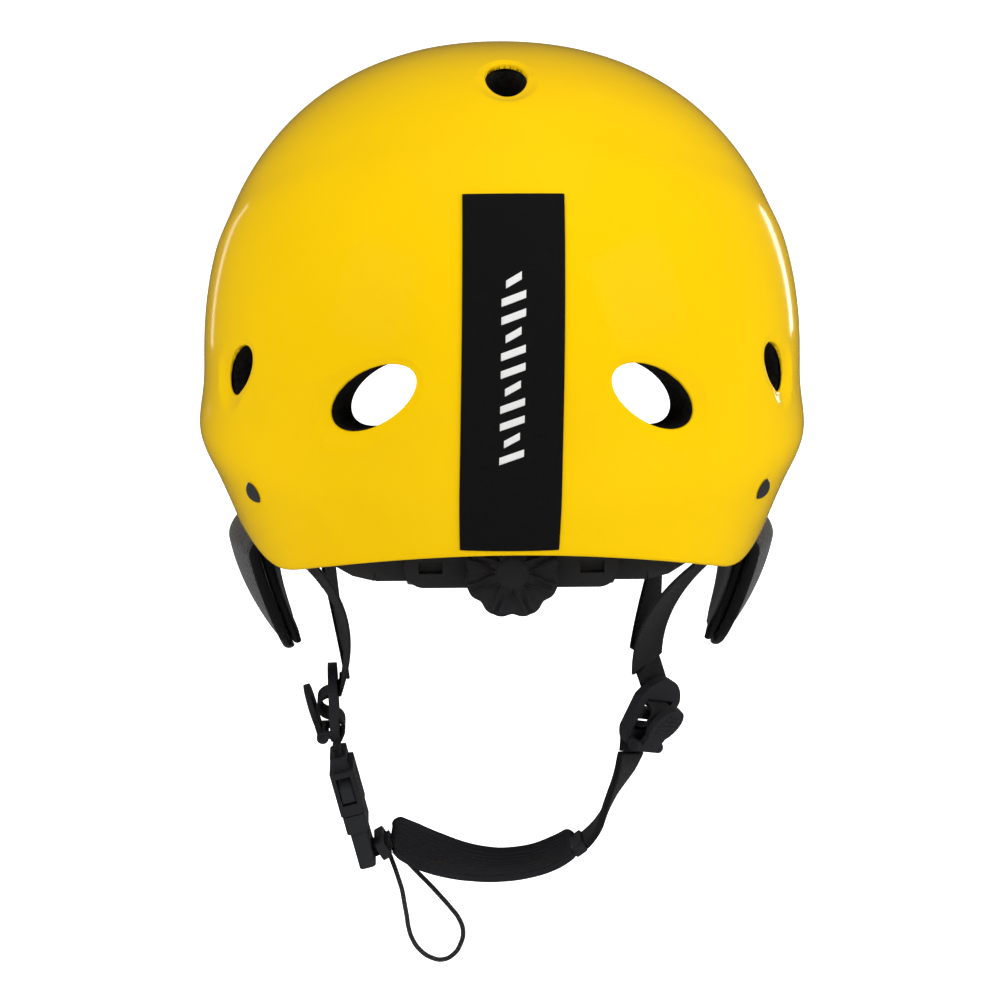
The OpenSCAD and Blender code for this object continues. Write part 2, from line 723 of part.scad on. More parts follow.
// Point of the ear guard: u runs -1 to 1 from rear to front and s 0 to 1 from top to tip
function ear_point(u, s, inset) =
    let (half = ear_half_width * pow(1 - pow(s, 2.4) * 0.985, 0.62))
    let (y = 1 - 14 * s + u * half)
    let (curl = 11 * pow((y + 2) / 42, 2) + inset)
    let (lean = ear_tip_lean * s * s - ear_flare * smooth_step(4 * s))
    [ear_hinge_x - 0.5 - lean - curl, y, ear_top - s * (ear_length + 0.6)];
module ear_slab(side, inset_out, wall, swell, u_share, row_start, row_end) {
    cols = 10;
    layers = [for (depth = [0, 1]) [
        for (i = [row_start : row_end])
            let (inset = inset_out + depth * wall * (1 + swell * (1 - i / ear_rows))) [
            for (j = [0 : cols]) ear_point(u_share * (2 * j / cols - 1), i / ear_rows, inset)
        ]
    ]];
    color([0.14, 0.14, 0.15]) seated() mirrored(side) slab(layers[0], layers[1]);
}
module ear_guard(side) { ear_slab(side, 0, ear_panel_wall, 0, 1, 0, ear_rows); }
module ear_pad(side) {
    ear_slab(side, ear_panel_wall + 0.4, ear_pad_wall, 1.1, 0.84, 2, ear_rows - 1);
}
module left_ear_guard() { ear_guard(-1); }
module right_ear_guard() { ear_guard(1); }
module left_ear_pad() { ear_pad(-1); }
module right_ear_pad() { ear_pad(1); }

// ---------------------------------------------------------------- size-adjusting cradle

band_wall = 2;
band_half_height = 5;
band_travel = 8;
peg_y = 50;
peg_z = -24;
peg_radius = 3;
peg_wall_x = shell_at(asin(peg_y / shell_half_length), peg_z, -shell_wall - glue_gap)[0];
eye_x = peg_wall_x - 5;
peg_tip_x = eye_x - band_wall - band_travel - 1.2;
module temple_pegs() {
    color([0.12, 0.12, 0.13]) seated() for (side = [-1, 1]) mirrored(side)
        translate([0, peg_y, peg_z]) rotate([0, 90, 0]) {
            translate([0, 0, peg_tip_x])
                cylinder(r = peg_radius, h = peg_wall_x - 1.4 - peg_tip_x, $fn = round_fn);
            translate([0, 0, eye_x + 0.5]) cylinder(r = 6, h = 1.4, $fn = round_fn);
        }
}
module peg_caps() {
    color([0.12, 0.12, 0.13]) seated() for (side = [-1, 1]) mirrored(side)
        translate([peg_tip_x - 2, peg_y, peg_z]) rotate([0, 90, 0])
            cylinder(r = 5, h = 1.95, $fn = round_fn);
}

// The dial's axis runs along Y through this point
dial_z = -nape_drop - 11;
knob_gap = 5.1;
knob_standoff = 0.6;
housing_rear = -shell_half_length - band_step + shell_wall + glue_gap + liner_wall + knob_gap
    + dial_depth + knob_standoff;
housing_wall = 2;
rack_rear = housing_rear + housing_wall + 0.3;
rack_front = rack_rear + band_wall;
cover_rear = rack_front + 0.3;
cover_wall = 1.5;
housing_half_length = 36;
housing_end_radius = 7;
hub_radius = 11.5;
tooth_pitch = 2 * PI * pinion_radius / pinion_teeth;
tooth_tip = pinion_radius + 0.5;
tooth_root = pinion_radius - 0.75;
rack_tip = pinion_radius - 0.5;
rack_base = pinion_radius + 0.75;
shaft_radius = tooth_root - 0.05;
full_band_start = 20;
rack_end = 2.6;

// Places a shape drawn in X and Z, extruded along +Y from y
module upright(y, depth) {
    translate([0, y + depth, 0]) rotate([90, 0, 0]) linear_extrude(depth) children();
}
module stadium(half_length, radius) {
    square([2 * (half_length - radius), 2 * radius], center = true);
    for (side = [-1, 1])
        translate([side * (half_length - radius), 0]) circle(r = radius, $fn = round_fn);
}
module at_dial() {
    seated() translate([0, 0, dial_z]) children();
}
module cradle_housing() {
    channel_half = band_half_height + 0.5;
    color([0.1, 0.1, 0.11]) at_dial() difference() {
        upright(housing_rear, cover_rear - housing_rear) {
            stadium(housing_half_length, housing_end_radius);
            circle(r = hub_radius, $fn = 64);
        }
        translate([-housing_half_length - 1, rack_rear - 0.3, -channel_half])
            cube([2 * housing_half_length + 2, 20, 2 * channel_half]);
        translate([0, housing_rear - 1, 0]) rotate([-90, 0, 0])
            cylinder(r = shaft_radius + running_gap, h = housing_wall + 2, $fn = round_fn);
        for (side = [-1, 1])
            translate([side * 27 - 4, housing_rear - 1, -2]) cube([8, housing_wall + 2, 4]);
    }
}
module cradle_cover() {
    color([0.1, 0.1, 0.11]) at_dial() difference() {
        upright(cover_rear, cover_wall) {
            stadium(housing_half_length, housing_end_radius);
            circle(r = hub_radius, $fn = 64);
        }
        translate([0, cover_rear - 1, 0]) rotate([-90, 0, 0])
            cylinder(r = 1.5 + running_gap, h = cover_wall + 2, $fn = round_fn);
    }
}
module nape_pad() {
    front = [for (i = [0 : 4]) [for (j = [0 : 8])
        let (x = -34 + 68 * j / 8)
        [x, cover_rear + cover_wall + 5 + 0.0032 * x * x, blend(10, -6.5, i / 4)]]];
    back = [for (i = [0 : 4]) [for (j = [0 : 8])
        let (x = -34 + 68 * j / 8)
        [x, cover_rear + cover_wall + 0.1, blend(10, -6.5, i / 4)]]];
    color([0.16, 0.16, 0.17]) at_dial() slab(back, front);
}

// Each band is a rack over the pinion, a straight strip and a curve that rises to the temple peg
// as shares of the way across, forwards and upwards
band_shares = [
    [0, 0, 0], [0.16, 0.02, 0.03], [0.33, 0.075, 0.1], [0.48, 0.18, 0.26], [0.7, 0.37, 0.52],
    [0.86, 0.58, 0.75], [0.95, 0.77, 0.88], [0.99, 0.91, 0.97], [1, 1, 1]
];
eye_radius = 7.5;
band_start = [housing_half_length + band_travel + 1, (rack_rear + rack_front) / 2, 0];
band_finish = [eye_x - band_wall / 2, peg_y - 4.3, peg_z - dial_z - 0.4];
band_route = [
    for (p = band_shares) [for (k = [0 : 2]) blend(band_start[k], band_finish[k], p[k])]
];
module rack_profile() {
    first = ceil(-(full_band_start - 1.5) / tooth_pitch);
    translate([-full_band_start - 0.5, rack_base])
        square([full_band_start + 0.5 + rack_end, band_half_height - rack_base]);
    for (k = [first : 0])
        translate([(k + 0.5) * tooth_pitch, 0])
            polygon([[-0.5, rack_base + 0.1], [-0.16, rack_tip], [0.16, rack_tip],
                [0.5, rack_base + 0.1]]);
}
module band(side) {
    color([0.1, 0.1, 0.11]) at_dial() difference() {
        union() {
            rotate([0, side < 0 ? 0 : 180, 0]) upright(rack_rear, band_wall) rack_profile();
            mirrored(side) {
                upright(rack_rear, band_wall) translate([full_band_start, -band_half_height])
                    square([band_start[0] + 0.5 - full_band_start, 2 * band_half_height]);
                ribbon(band_route, [for (p = band_route) [0, 0, 1]], 2 * band_half_height,
                    band_wall);
                band_eye(eye_radius, 0);
            }
        }
        mirrored(side) band_eye(peg_radius + running_gap, 1);
    }
}
module band_eye(radius, extra) {
    translate([eye_x - band_wall - extra, peg_y, peg_z - dial_z]) rotate([0, 90, 0])
        cylinder(r = radius, h = band_wall + 2 * extra, $fn = round_fn);
}
module left_band() { band(-1); }
module right_band() { band(1); }

// Knob outline: a disc with a scallop between petals, and a raised rib along each petal
knob_rear = housing_rear - knob_standoff - dial_depth;
hub_cap_radius = 5;
module dial_knob() {
    step = 360 / petal_count;
    bottom_scallop = petal_count * 0.75;
    face = 1.6;
    color([0.09, 0.09, 0.1]) at_dial() difference() {
        union() {
            upright(knob_rear + face, dial_depth - face) difference() {
                circle(r = dial_radius, $fn = 96);
                for (k = [0 : petal_count - 1])
                    rotate((k + bottom_scallop) * step) translate([dial_radius + 1.6, 0])
                        circle(r = 3, $fn = 32);
            }
            upright(knob_rear + 0.6, face) for (k = [0 : petal_count - 1])
                rotate((k + bottom_scallop + 0.5) * step) {
                    polygon([[hub_cap_radius - 1, -0.7], [dial_radius - 4, -1.9],
                        [dial_radius - 4, 1.9], [hub_cap_radius - 1, 0.7]]);
                    translate([dial_radius - 4, 0]) circle(r = 2, $fn = 24);
                }
            upright(knob_rear, 2 * face) circle(r = hub_cap_radius, $fn = round_fn);
        }
        translate([0, housing_rear - 2.6, 0]) rotate([-90, 0, 0])
            cylinder(r = dial_radius - 3.2, h = 5, $fn = 64);
        translate([0, knob_rear - 1, 0]) rotate([-90, 0, 0])
            cylinder(r = shaft_radius + 0.02, h = dial_depth + 2, $fn = round_fn);
        translate([0, knob_rear - 1, 0]) rotate([-90, 0, 0])
            cylinder(r = 3.2, h = 2.4, $fn = round_fn);
    }
}
module dial_pinion() {
    step = 360 / pinion_teeth;
    color([0.85, 0.85, 0.82]) at_dial() {
        upright(rack_rear, band_wall) {
            circle(r = tooth_root, $fn = round_fn);
            for (k = [0 : pinion_teeth - 1])
                rotate(90 + k * step)
                    polygon([[tooth_root - 0.4, -0.5], [tooth_tip, -0.16], [tooth_tip, 0.16],
                        [tooth_root - 0.4, 0.5]]);
        }
        upright(knob_rear + 1.5, rack_rear - knob_rear - 1.4) circle(r = shaft_radius, $fn = round_fn);
        upright(rack_front - 0.1, cover_wall + 0.4) circle(r = 1.5, $fn = round_fn);
    }
}
module ratchet_spring() {
    color("silver") at_dial() upright(housing_rear - 1.3, 1.2) {
        difference() {
            circle(r = 7.5, $fn = round_fn);
            circle(r = 6, $fn = round_fn);
        }
        for (side = [0, 180])
            rotate(side) translate([6.6, -0.6]) square([4.2, 1.2]);
    }
}
module dial_screw() {
    color("silver") at_dial() difference() {
        upright(knob_rear + 0.3, 1.1) circle(r = 2.9, $fn = round_fn);
        translate([-2, knob_rear, -0.4]) cube([4, 0.8, 0.8]);
        translate([-0.4, knob_rear, -2]) cube([0.8, 0.8, 4]);
    }
}

outer_shell();
rear_strip();
impact_liner();
crown_pad();
front_pad();
rear_pad();
left_side_pad();
right_side_pad();
pad_fasteners();
rivets();
rivet_washers();
strap_anchors();
left_rear_strap();
left_front_strap();
right_rear_strap();
right_front_strap();
left_adjuster_frame();
right_adjuster_frame();
left_adjuster_lever();
right_adjuster_lever();
left_tail_strap();
right_chin_strap();
buckle_socket();
buckle_plug();
buckle_prongs();
buckle_webbing();
strap_keeper();
chin_cup();
pull_cord();
left_ear_tab();
right_ear_tab();
left_ear_guard();
right_ear_guard();
left_ear_pad();
right_ear_pad();
temple_pegs();
peg_caps();
cradle_housing();
cradle_cover();
nape_pad();
left_band();
right_band();
dial_knob();
dial_pinion();
ratchet_spring();
dial_screw();
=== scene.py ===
"""Water sports helmet: detailed pieces and finishes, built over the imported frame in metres."""

import logging
import math
from dataclasses import dataclass
from enum import Enum
from typing import Callable, Iterable, Sequence

import bmesh
import bpy
import numpy as np
from mathutils import Matrix, Vector


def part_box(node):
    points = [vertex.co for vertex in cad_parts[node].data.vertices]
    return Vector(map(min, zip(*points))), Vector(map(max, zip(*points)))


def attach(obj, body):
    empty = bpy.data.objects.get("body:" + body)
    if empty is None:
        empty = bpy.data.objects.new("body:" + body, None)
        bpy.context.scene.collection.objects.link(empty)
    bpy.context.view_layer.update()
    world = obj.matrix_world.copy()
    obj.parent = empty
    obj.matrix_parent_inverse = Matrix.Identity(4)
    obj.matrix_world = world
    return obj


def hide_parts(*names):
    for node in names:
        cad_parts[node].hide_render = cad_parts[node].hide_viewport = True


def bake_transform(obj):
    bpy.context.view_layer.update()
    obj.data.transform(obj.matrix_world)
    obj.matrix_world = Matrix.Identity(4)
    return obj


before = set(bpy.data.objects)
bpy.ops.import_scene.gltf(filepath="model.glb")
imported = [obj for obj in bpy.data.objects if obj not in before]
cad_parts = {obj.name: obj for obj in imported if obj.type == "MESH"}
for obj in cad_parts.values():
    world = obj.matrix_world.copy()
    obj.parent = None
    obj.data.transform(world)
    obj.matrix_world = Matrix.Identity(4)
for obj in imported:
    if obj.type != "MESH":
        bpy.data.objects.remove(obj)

LOG = logging.getLogger("helmet")
MM = 0.001
SEAT_HEIGHT = 86.1
POLE_SHARE = 0.7
FLOOR_HALF_SIZE = 6.0
FLOOR_LEVEL = -0.345
Point = Sequence[float]
Face = Sequence[int]


# ------------------------------------------------------------------ small helpers


def in_part_frame(points: np.ndarray) -> np.ndarray:
    """Turns points of the dome's frame in millimetres into the part's frame in metres.

    Args:
        points: Points measured from the dome's equator, in millimetres.

    Returns:
        The same points in metres, with the wearer's crown at the origin.
    """
    return (np.asarray(points, float) - (0.0, 0.0, SEAT_HEIGHT)) * MM


def unit(vector: np.ndarray) -> np.ndarray:
    """Returns the vectors along the last axis at length one."""
    vector = np.asarray(vector, float)
    return vector / np.maximum(np.linalg.norm(vector, axis=-1, keepdims=True), 1e-12)


def smooth_step(x: np.ndarray) -> np.ndarray:
    """Returns 0 below 0, 1 above 1 and a smooth rise between."""
    c = np.clip(x, 0.0, 1.0)
    return c * c * (3.0 - 2.0 * c)


def blend(a: float, b: float, t: np.ndarray) -> np.ndarray:
    """Returns the value a share t of the way from a to b."""
    return a + (b - a) * t


def resample(points: Sequence[Point], count: int) -> np.ndarray:
    """Draws a smooth line through a few points.

    Args:
        points: Points the line passes through.
        count: Number of points wanted on the line.

    Returns:
        Points at even shares of the way along a Catmull-Rom curve.
    """
    p = np.asarray(points, float)
    p = np.vstack([2 * p[0] - p[1], p, 2 * p[-1] - p[-2]])
    t = np.linspace(0, len(p) - 3, count)
    i = np.minimum(t.astype(int), len(p) - 4)
    f = (t - i)[:, None]
    a, b, c, d = p[i], p[i + 1], p[i + 2], p[i + 3]
    return 0.5 * (2 * b + (c - a) * f + (2 * a - 5 * b + 4 * c - d) * f**2
                  + (3 * b - a - 3 * c + d) * f**3)


def new_object(name: str, points: np.ndarray, faces: Iterable[Face], dome_frame: bool = True,
               uv: np.ndarray | None = None, outward: bool = True) -> bpy.types.Object:
    """Makes a smooth-shaded mesh object from points and faces.

    Args:
        name: The piece's name.
        points: Its vertices.
        faces: Its faces as indices.
        dome_frame: Whether the points are in the dome's frame in millimetres.
        uv: One pair of values per vertex for the UV map, or None.
        outward: Whether to turn all faces outwards, for a closed form.

    Returns:
        The new object, at the origin.
    """
    mesh = bpy.data.meshes.new(name)
    verts = in_part_frame(points) if dome_frame else np.asarray(points, float)
    mesh.from_pydata(verts.tolist(), [], [list(f) for f in faces])
    if uv is not None:
        layer = mesh.uv_layers.new(name="strip")
        index = np.zeros(len(mesh.loops), np.int32)
        mesh.loops.foreach_get("vertex_index", index)
        layer.data.foreach_set("uv", np.asarray(uv, np.float32)[index].ravel())
    if outward:
        work = bmesh.new()
        work.from_mesh(mesh)
        bmesh.ops.recalc_face_normals(work, faces=work.faces)
        work.to_mesh(mesh)
        work.free()
    mesh.shade_smooth()
    obj = bpy.data.objects.new(name, mesh)
    bpy.context.scene.collection.objects.link(obj)
    return obj


def join_parts(parts: Sequence[tuple[np.ndarray, list[Face]]]) -> tuple[np.ndarray, list[Face]]:
    """Joins several point-and-face pairs into one.

    Args:
        parts: Pairs of points and faces.

    Returns:
        All points, and all faces with their indices moved along.
    """
    points, faces, base = [], [], 0
    for p, f in parts:
        points.append(np.asarray(p, float))
        faces += [[i + base for i in face] for face in f]
        base += len(p)
    return np.vstack(points), faces


def apply_modifiers(obj: bpy.types.Object) -> None:
    """Replaces an object's mesh by its evaluated one and removes its modifiers."""
    graph = bpy.context.evaluated_depsgraph_get()
    mesh = bpy.data.meshes.new_from_object(obj.evaluated_get(graph), depsgraph=graph)
    obj.modifiers.clear()
    old = obj.data
    obj.data = mesh
    mesh.name = obj.name
    bpy.data.meshes.remove(old)


def tube_faces(rows: int, turns: int) -> list[Face]:
    """Returns the faces of a tube of rows of points with both ends capped.

    Args:
        rows: Number of rows along the tube.
        turns: Number of points round each row.

    Returns:
        The faces as indices.
    """
    faces: list[Face] = []
    for start in range(0, (rows - 1) * turns, turns):
        for j in range(turns):
            a, b = start + j, start + (j + 1) % turns
            faces.append([a, b, b + turns, a + turns])
    last = (rows - 1) * turns
    return faces + [list(range(turns)), [last + j for j in range(turns - 1, -1, -1)]]


def bridged(chain: Sequence[np.ndarray]) -> list[Face]:
    """Returns the faces between each closed ring of indices and the next."""
    faces: list[Face] = []
    for one, two in zip(chain, chain[1:]):
        faces += np.stack([one, two, np.roll(two, -1), np.roll(one, -1)], -1).tolist()
    return faces


def closed_grid(front: np.ndarray, back: np.ndarray, edge: float = 0.45,
                round_rows: int = 3) -> tuple[np.ndarray, list[Face], np.ndarray]:
    """Closes two layers of rows and columns into a slab with a rounded edge.

    Args:
        front: Points of one face, as rows x columns x 3.
        back: Points of the other face in the same order.
        edge: How far the edge bulges outwards, as a share of the slab's thickness.
        round_rows: Number of rows of faces across the edge.

    Returns:
        Points, faces and a row-and-column value for each point.
    """
    rows, cols = front.shape[:2]
    total = rows * cols
    points = [front.reshape(-1, 3), back.reshape(-1, 3)]
    faces: list[Face] = []
    for i in range(rows - 1):
        for j in range(cols - 1):
            p = i * cols + j
            faces.append([p, p + 1, p + cols + 1, p + cols])
            faces.append([total + q for q in (p + cols, p + cols + 1, p + 1, p)])
    loop = ([j for j in range(cols - 1)] + [i * cols + cols - 1 for i in range(rows - 1)]
            + [(rows - 1) * cols + j for j in range(cols - 1, 0, -1)]
            + [i * cols for i in range(rows - 1, 0, -1)])
    a, b = front.reshape(-1, 3)[loop], back.reshape(-1, 3)[loop]
    middle = (a + b) / 2
    tangent = unit(np.roll(middle, -1, 0) - np.roll(middle, 1, 0))
    out = unit(np.cross(a - b, tangent))
    thick = np.linalg.norm(a - b, axis=1, keepdims=True)
    centre = front.reshape(-1, 3).mean(0)
    if np.mean(np.sum(out * (middle - centre), 1)) < 0:
        out = -out
    previous = np.array(loop)
    base = 2 * total
    for k in range(1, round_rows):
        turn = math.pi * k / round_rows
        ring = middle + (a - b) / 2 * math.cos(turn) + out * thick * edge * math.sin(turn)
        points.append(ring)
        current = base + np.arange(len(loop))
        faces += [[previous[n], current[n], current[(n + 1) % len(loop)],
                   previous[(n + 1) % len(loop)]] for n in range(len(loop))]
        previous = current
        base += len(loop)
    last = np.array(loop) + total
    faces += [[previous[n], last[n], last[(n + 1) % len(loop)], previous[(n + 1) % len(loop)]]
              for n in range(len(loop))]
    across, along = np.meshgrid(np.linspace(0, 1, cols), np.linspace(0, 1, rows))
    grid = np.stack([across.ravel(), along.ravel()], 1)
    edges = [grid[loop]] * (round_rows - 1)
    return np.vstack(points), faces, np.vstack([grid, grid, *edges])


# ------------------------------------------------------------------ shader node groups


class Board:
    """A node tree with short ways to add nodes and join them."""

    def __init__(self, tree: bpy.types.NodeTree) -> None:
        """Keeps the tree to work on."""
        self.tree = tree

    def add(self, kind: str, **values: object) -> bpy.types.Node:
        """Adds a node.

        Args:
            kind: The node's type name.
            **values: Attributes by name, or inputs by the name after "in_" with _ for a space.

        Returns:
            The new node.
        """
        node = self.tree.nodes.new(kind)
        for key, value in values.items():
            if key.startswith("in_"):
                place = key[3:]
                target = node.inputs[int(place) if place.isdigit() else place.replace("_", " ")]
                if isinstance(value, bpy.types.NodeSocket):
                    self.tree.links.new(value, target)
                else:
                    target.default_value = value
            else:
                setattr(node, key, value)
        return node

    def math(self, operation: str, a: object, b: object = 0.0, c: object = 0.0) -> object:
        """Adds a math node and returns its value socket."""
        node = self.add("ShaderNodeMath", operation=operation)
        for index, value in enumerate((a, b, c)):
            if isinstance(value, bpy.types.NodeSocket):
                self.tree.links.new(value, node.inputs[index])
            else:
                node.inputs[index].default_value = value
        return node.outputs[0]

    def ramp(self, value: object, low: float, high: float) -> object:
        """Maps a value from low..high to 0..1, clamped, and returns the socket."""
        node = self.add("ShaderNodeMapRange", in_Value=value)
        node.inputs["From Min"].default_value = low
        node.inputs["From Max"].default_value = high
        return node.outputs["Result"]


def new_group(name: str, inputs: dict[str, tuple[str, float]],
              outputs: Sequence[str]) -> tuple[Board, object, object]:
    """Starts a shader node group with named inputs and value outputs.

    Args:
        name: The group's name.
        inputs: Socket kind and default value by name.
        outputs: Names of the value outputs.

    Returns:
        The board, and the group's input and output nodes.
    """
    tree = bpy.data.node_groups.new(name, "ShaderNodeTree")
    for label, (kind, value) in inputs.items():
        socket = tree.interface.new_socket(label, in_out="INPUT", socket_type=kind)
        if kind == "NodeSocketFloat":
            socket.default_value = value
    for label in outputs:
        tree.interface.new_socket(label, in_out="OUTPUT", socket_type="NodeSocketFloat")
    board = Board(tree)
    return board, board.add("NodeGroupInput"), board.add("NodeGroupOutput")


def grain_group() -> bpy.types.NodeTree:
    """Builds the fine moulded grain shared by plastics and rubber, with its slow tone change."""
    board, start, end = new_group(
        "moulded_grain",
        {"Vector": ("NodeSocketVector", 0), "Scale": ("NodeSocketFloat", 900.0)},
        ["Height", "Tone"])
    fine = board.add("ShaderNodeTexNoise", in_Vector=start.outputs["Vector"],
                     in_Scale=start.outputs["Scale"], in_Detail=3.0)
    cells = board.add("ShaderNodeTexVoronoi", in_Vector=start.outputs["Vector"],
                      in_Scale=start.outputs["Scale"])
    slow = board.add("ShaderNodeTexNoise", in_Vector=start.outputs["Vector"], in_Scale=14.0,
                     in_Detail=2.0)
    height = board.math("MULTIPLY_ADD", cells.outputs["Distance"], 0.5,
                        board.math("MULTIPLY", fine.outputs["Fac"], 0.6))
    board.tree.links.new(height, end.inputs["Height"])
    board.tree.links.new(slow.outputs["Fac"], end.inputs["Tone"])
    return board.tree


def scuff_group() -> bpy.types.NodeTree:
    """Builds fine crossing scratches and soft patches of handling wear."""
    board, start, end = new_group(
        "handling_scuffs",
        {"Vector": ("NodeSocketVector", 0), "Density": ("NodeSocketFloat", 0.5)},
        ["Scratches", "Patches"])
    masks = []
    for turn, scale in ((0.4, 26.0), (2.1, 33.0)):
        mapping = board.add("ShaderNodeMapping", in_Vector=start.outputs["Vector"])
        mapping.inputs["Rotation"].default_value = (turn, turn * 0.7, turn * 1.3)
        mapping.inputs["Scale"].default_value = (1.0, 14.0, 1.0)
        streak = board.add("ShaderNodeTexNoise", in_Vector=mapping.outputs[0], in_Scale=scale,
                           in_Detail=4.0)
        masks.append(board.ramp(streak.outputs["Fac"], 0.655, 0.7))
    patches = board.add("ShaderNodeTexNoise", in_Vector=start.outputs["Vector"], in_Scale=38.0,
                        in_Detail=5.0)
    patch = board.ramp(patches.outputs["Fac"], 0.5, 0.72)
    both = board.math("MULTIPLY", board.math("MAXIMUM", masks[0], masks[1]),
                      board.math("MULTIPLY", patch, start.outputs["Density"]))
    board.tree.links.new(both, end.inputs["Scratches"])
    board.tree.links.new(board.math("MULTIPLY", patch, start.outputs["Density"]),
                         end.inputs["Patches"])
    return board.tree


def weave_group() -> bpy.types.NodeTree:
    """Builds a ribbed tape weave from a strip's own UV map, across in X and along in Y."""
    board, start, end = new_group(
        "tape_weave",
        {"Vector": ("NodeSocketVector", 0), "Threads": ("NodeSocketFloat", 22.0),
         "Ribs": ("NodeSocketFloat", 9.0)},
        ["Height", "Thread", "Selvedge"])
    split = board.add("ShaderNodeSeparateXYZ", in_Vector=start.outputs["Vector"])
    across = board.math("MULTIPLY", split.outputs[0], start.outputs["Threads"])
    along = board.math("MULTIPLY", split.outputs[1], start.outputs["Ribs"])
    warp = board.math("ABSOLUTE", board.math("SINE", board.math("MULTIPLY", across, math.pi)))
    column = board.math("FLOORED_MODULO", board.math("FLOOR", across), 2.0)
    odd = board.math("MULTIPLY", column, 0.5)
    weft = board.math("ABSOLUTE", board.math(
        "SINE", board.math("MULTIPLY", board.math("ADD", along, odd), math.pi)))
    height = board.math("MULTIPLY_ADD", warp, 0.55, board.math("MULTIPLY", weft, 0.6))
    edge = board.ramp(board.math("ABSOLUTE", board.math("SUBTRACT", split.outputs[0], 0.5)),
                      0.42, 0.46)
    board.tree.links.new(height, end.inputs["Height"])
    board.tree.links.new(board.math("MULTIPLY", warp, weft), end.inputs["Thread"])
    board.tree.links.new(edge, end.inputs["Selvedge"])
    return board.tree


def heather_group() -> bpy.types.NodeTree:
    """Builds a knit of mixed pale and dark yarns on Object coordinates."""
    board, start, end = new_group(
        "heather_knit",
        {"Vector": ("NodeSocketVector", 0), "Scale": ("NodeSocketFloat", 420.0)},
        ["Height", "Fleck"])
    flecks = []
    for turn in (0.0, 1.2):
        mapping = board.add("ShaderNodeMapping", in_Vector=start.outputs["Vector"])
        mapping.inputs["Rotation"].default_value = (turn, 0.0, turn)
        mapping.inputs["Scale"].default_value = (1.0, 1.0, 3.2)
        noise = board.add("ShaderNodeTexNoise", in_Vector=mapping.outputs[0],
                          in_Scale=start.outputs["Scale"], in_Detail=2.0)
        flecks.append(board.ramp(noise.outputs["Fac"], 0.52, 0.66))
    knit = board.add("ShaderNodeTexVoronoi", in_Vector=start.outputs["Vector"],
                     in_Scale=board.math("MULTIPLY", start.outputs["Scale"], 1.6))
    board.tree.links.new(knit.outputs["Distance"], end.inputs["Height"])
    board.tree.links.new(board.math("MAXIMUM", flecks[0], board.math("MULTIPLY", flecks[1], 0.7)),
                         end.inputs["Fleck"])
    return board.tree


class Pattern(Enum):
    """Which surface pattern a finish carries."""

    GRAIN = "grain"
    WEAVE = "weave"
    HEATHER = "heather"
    CELLS = "cells"
    BRUSHED = "brushed"
    BRAID = "braid"
    VINYL = "vinyl"


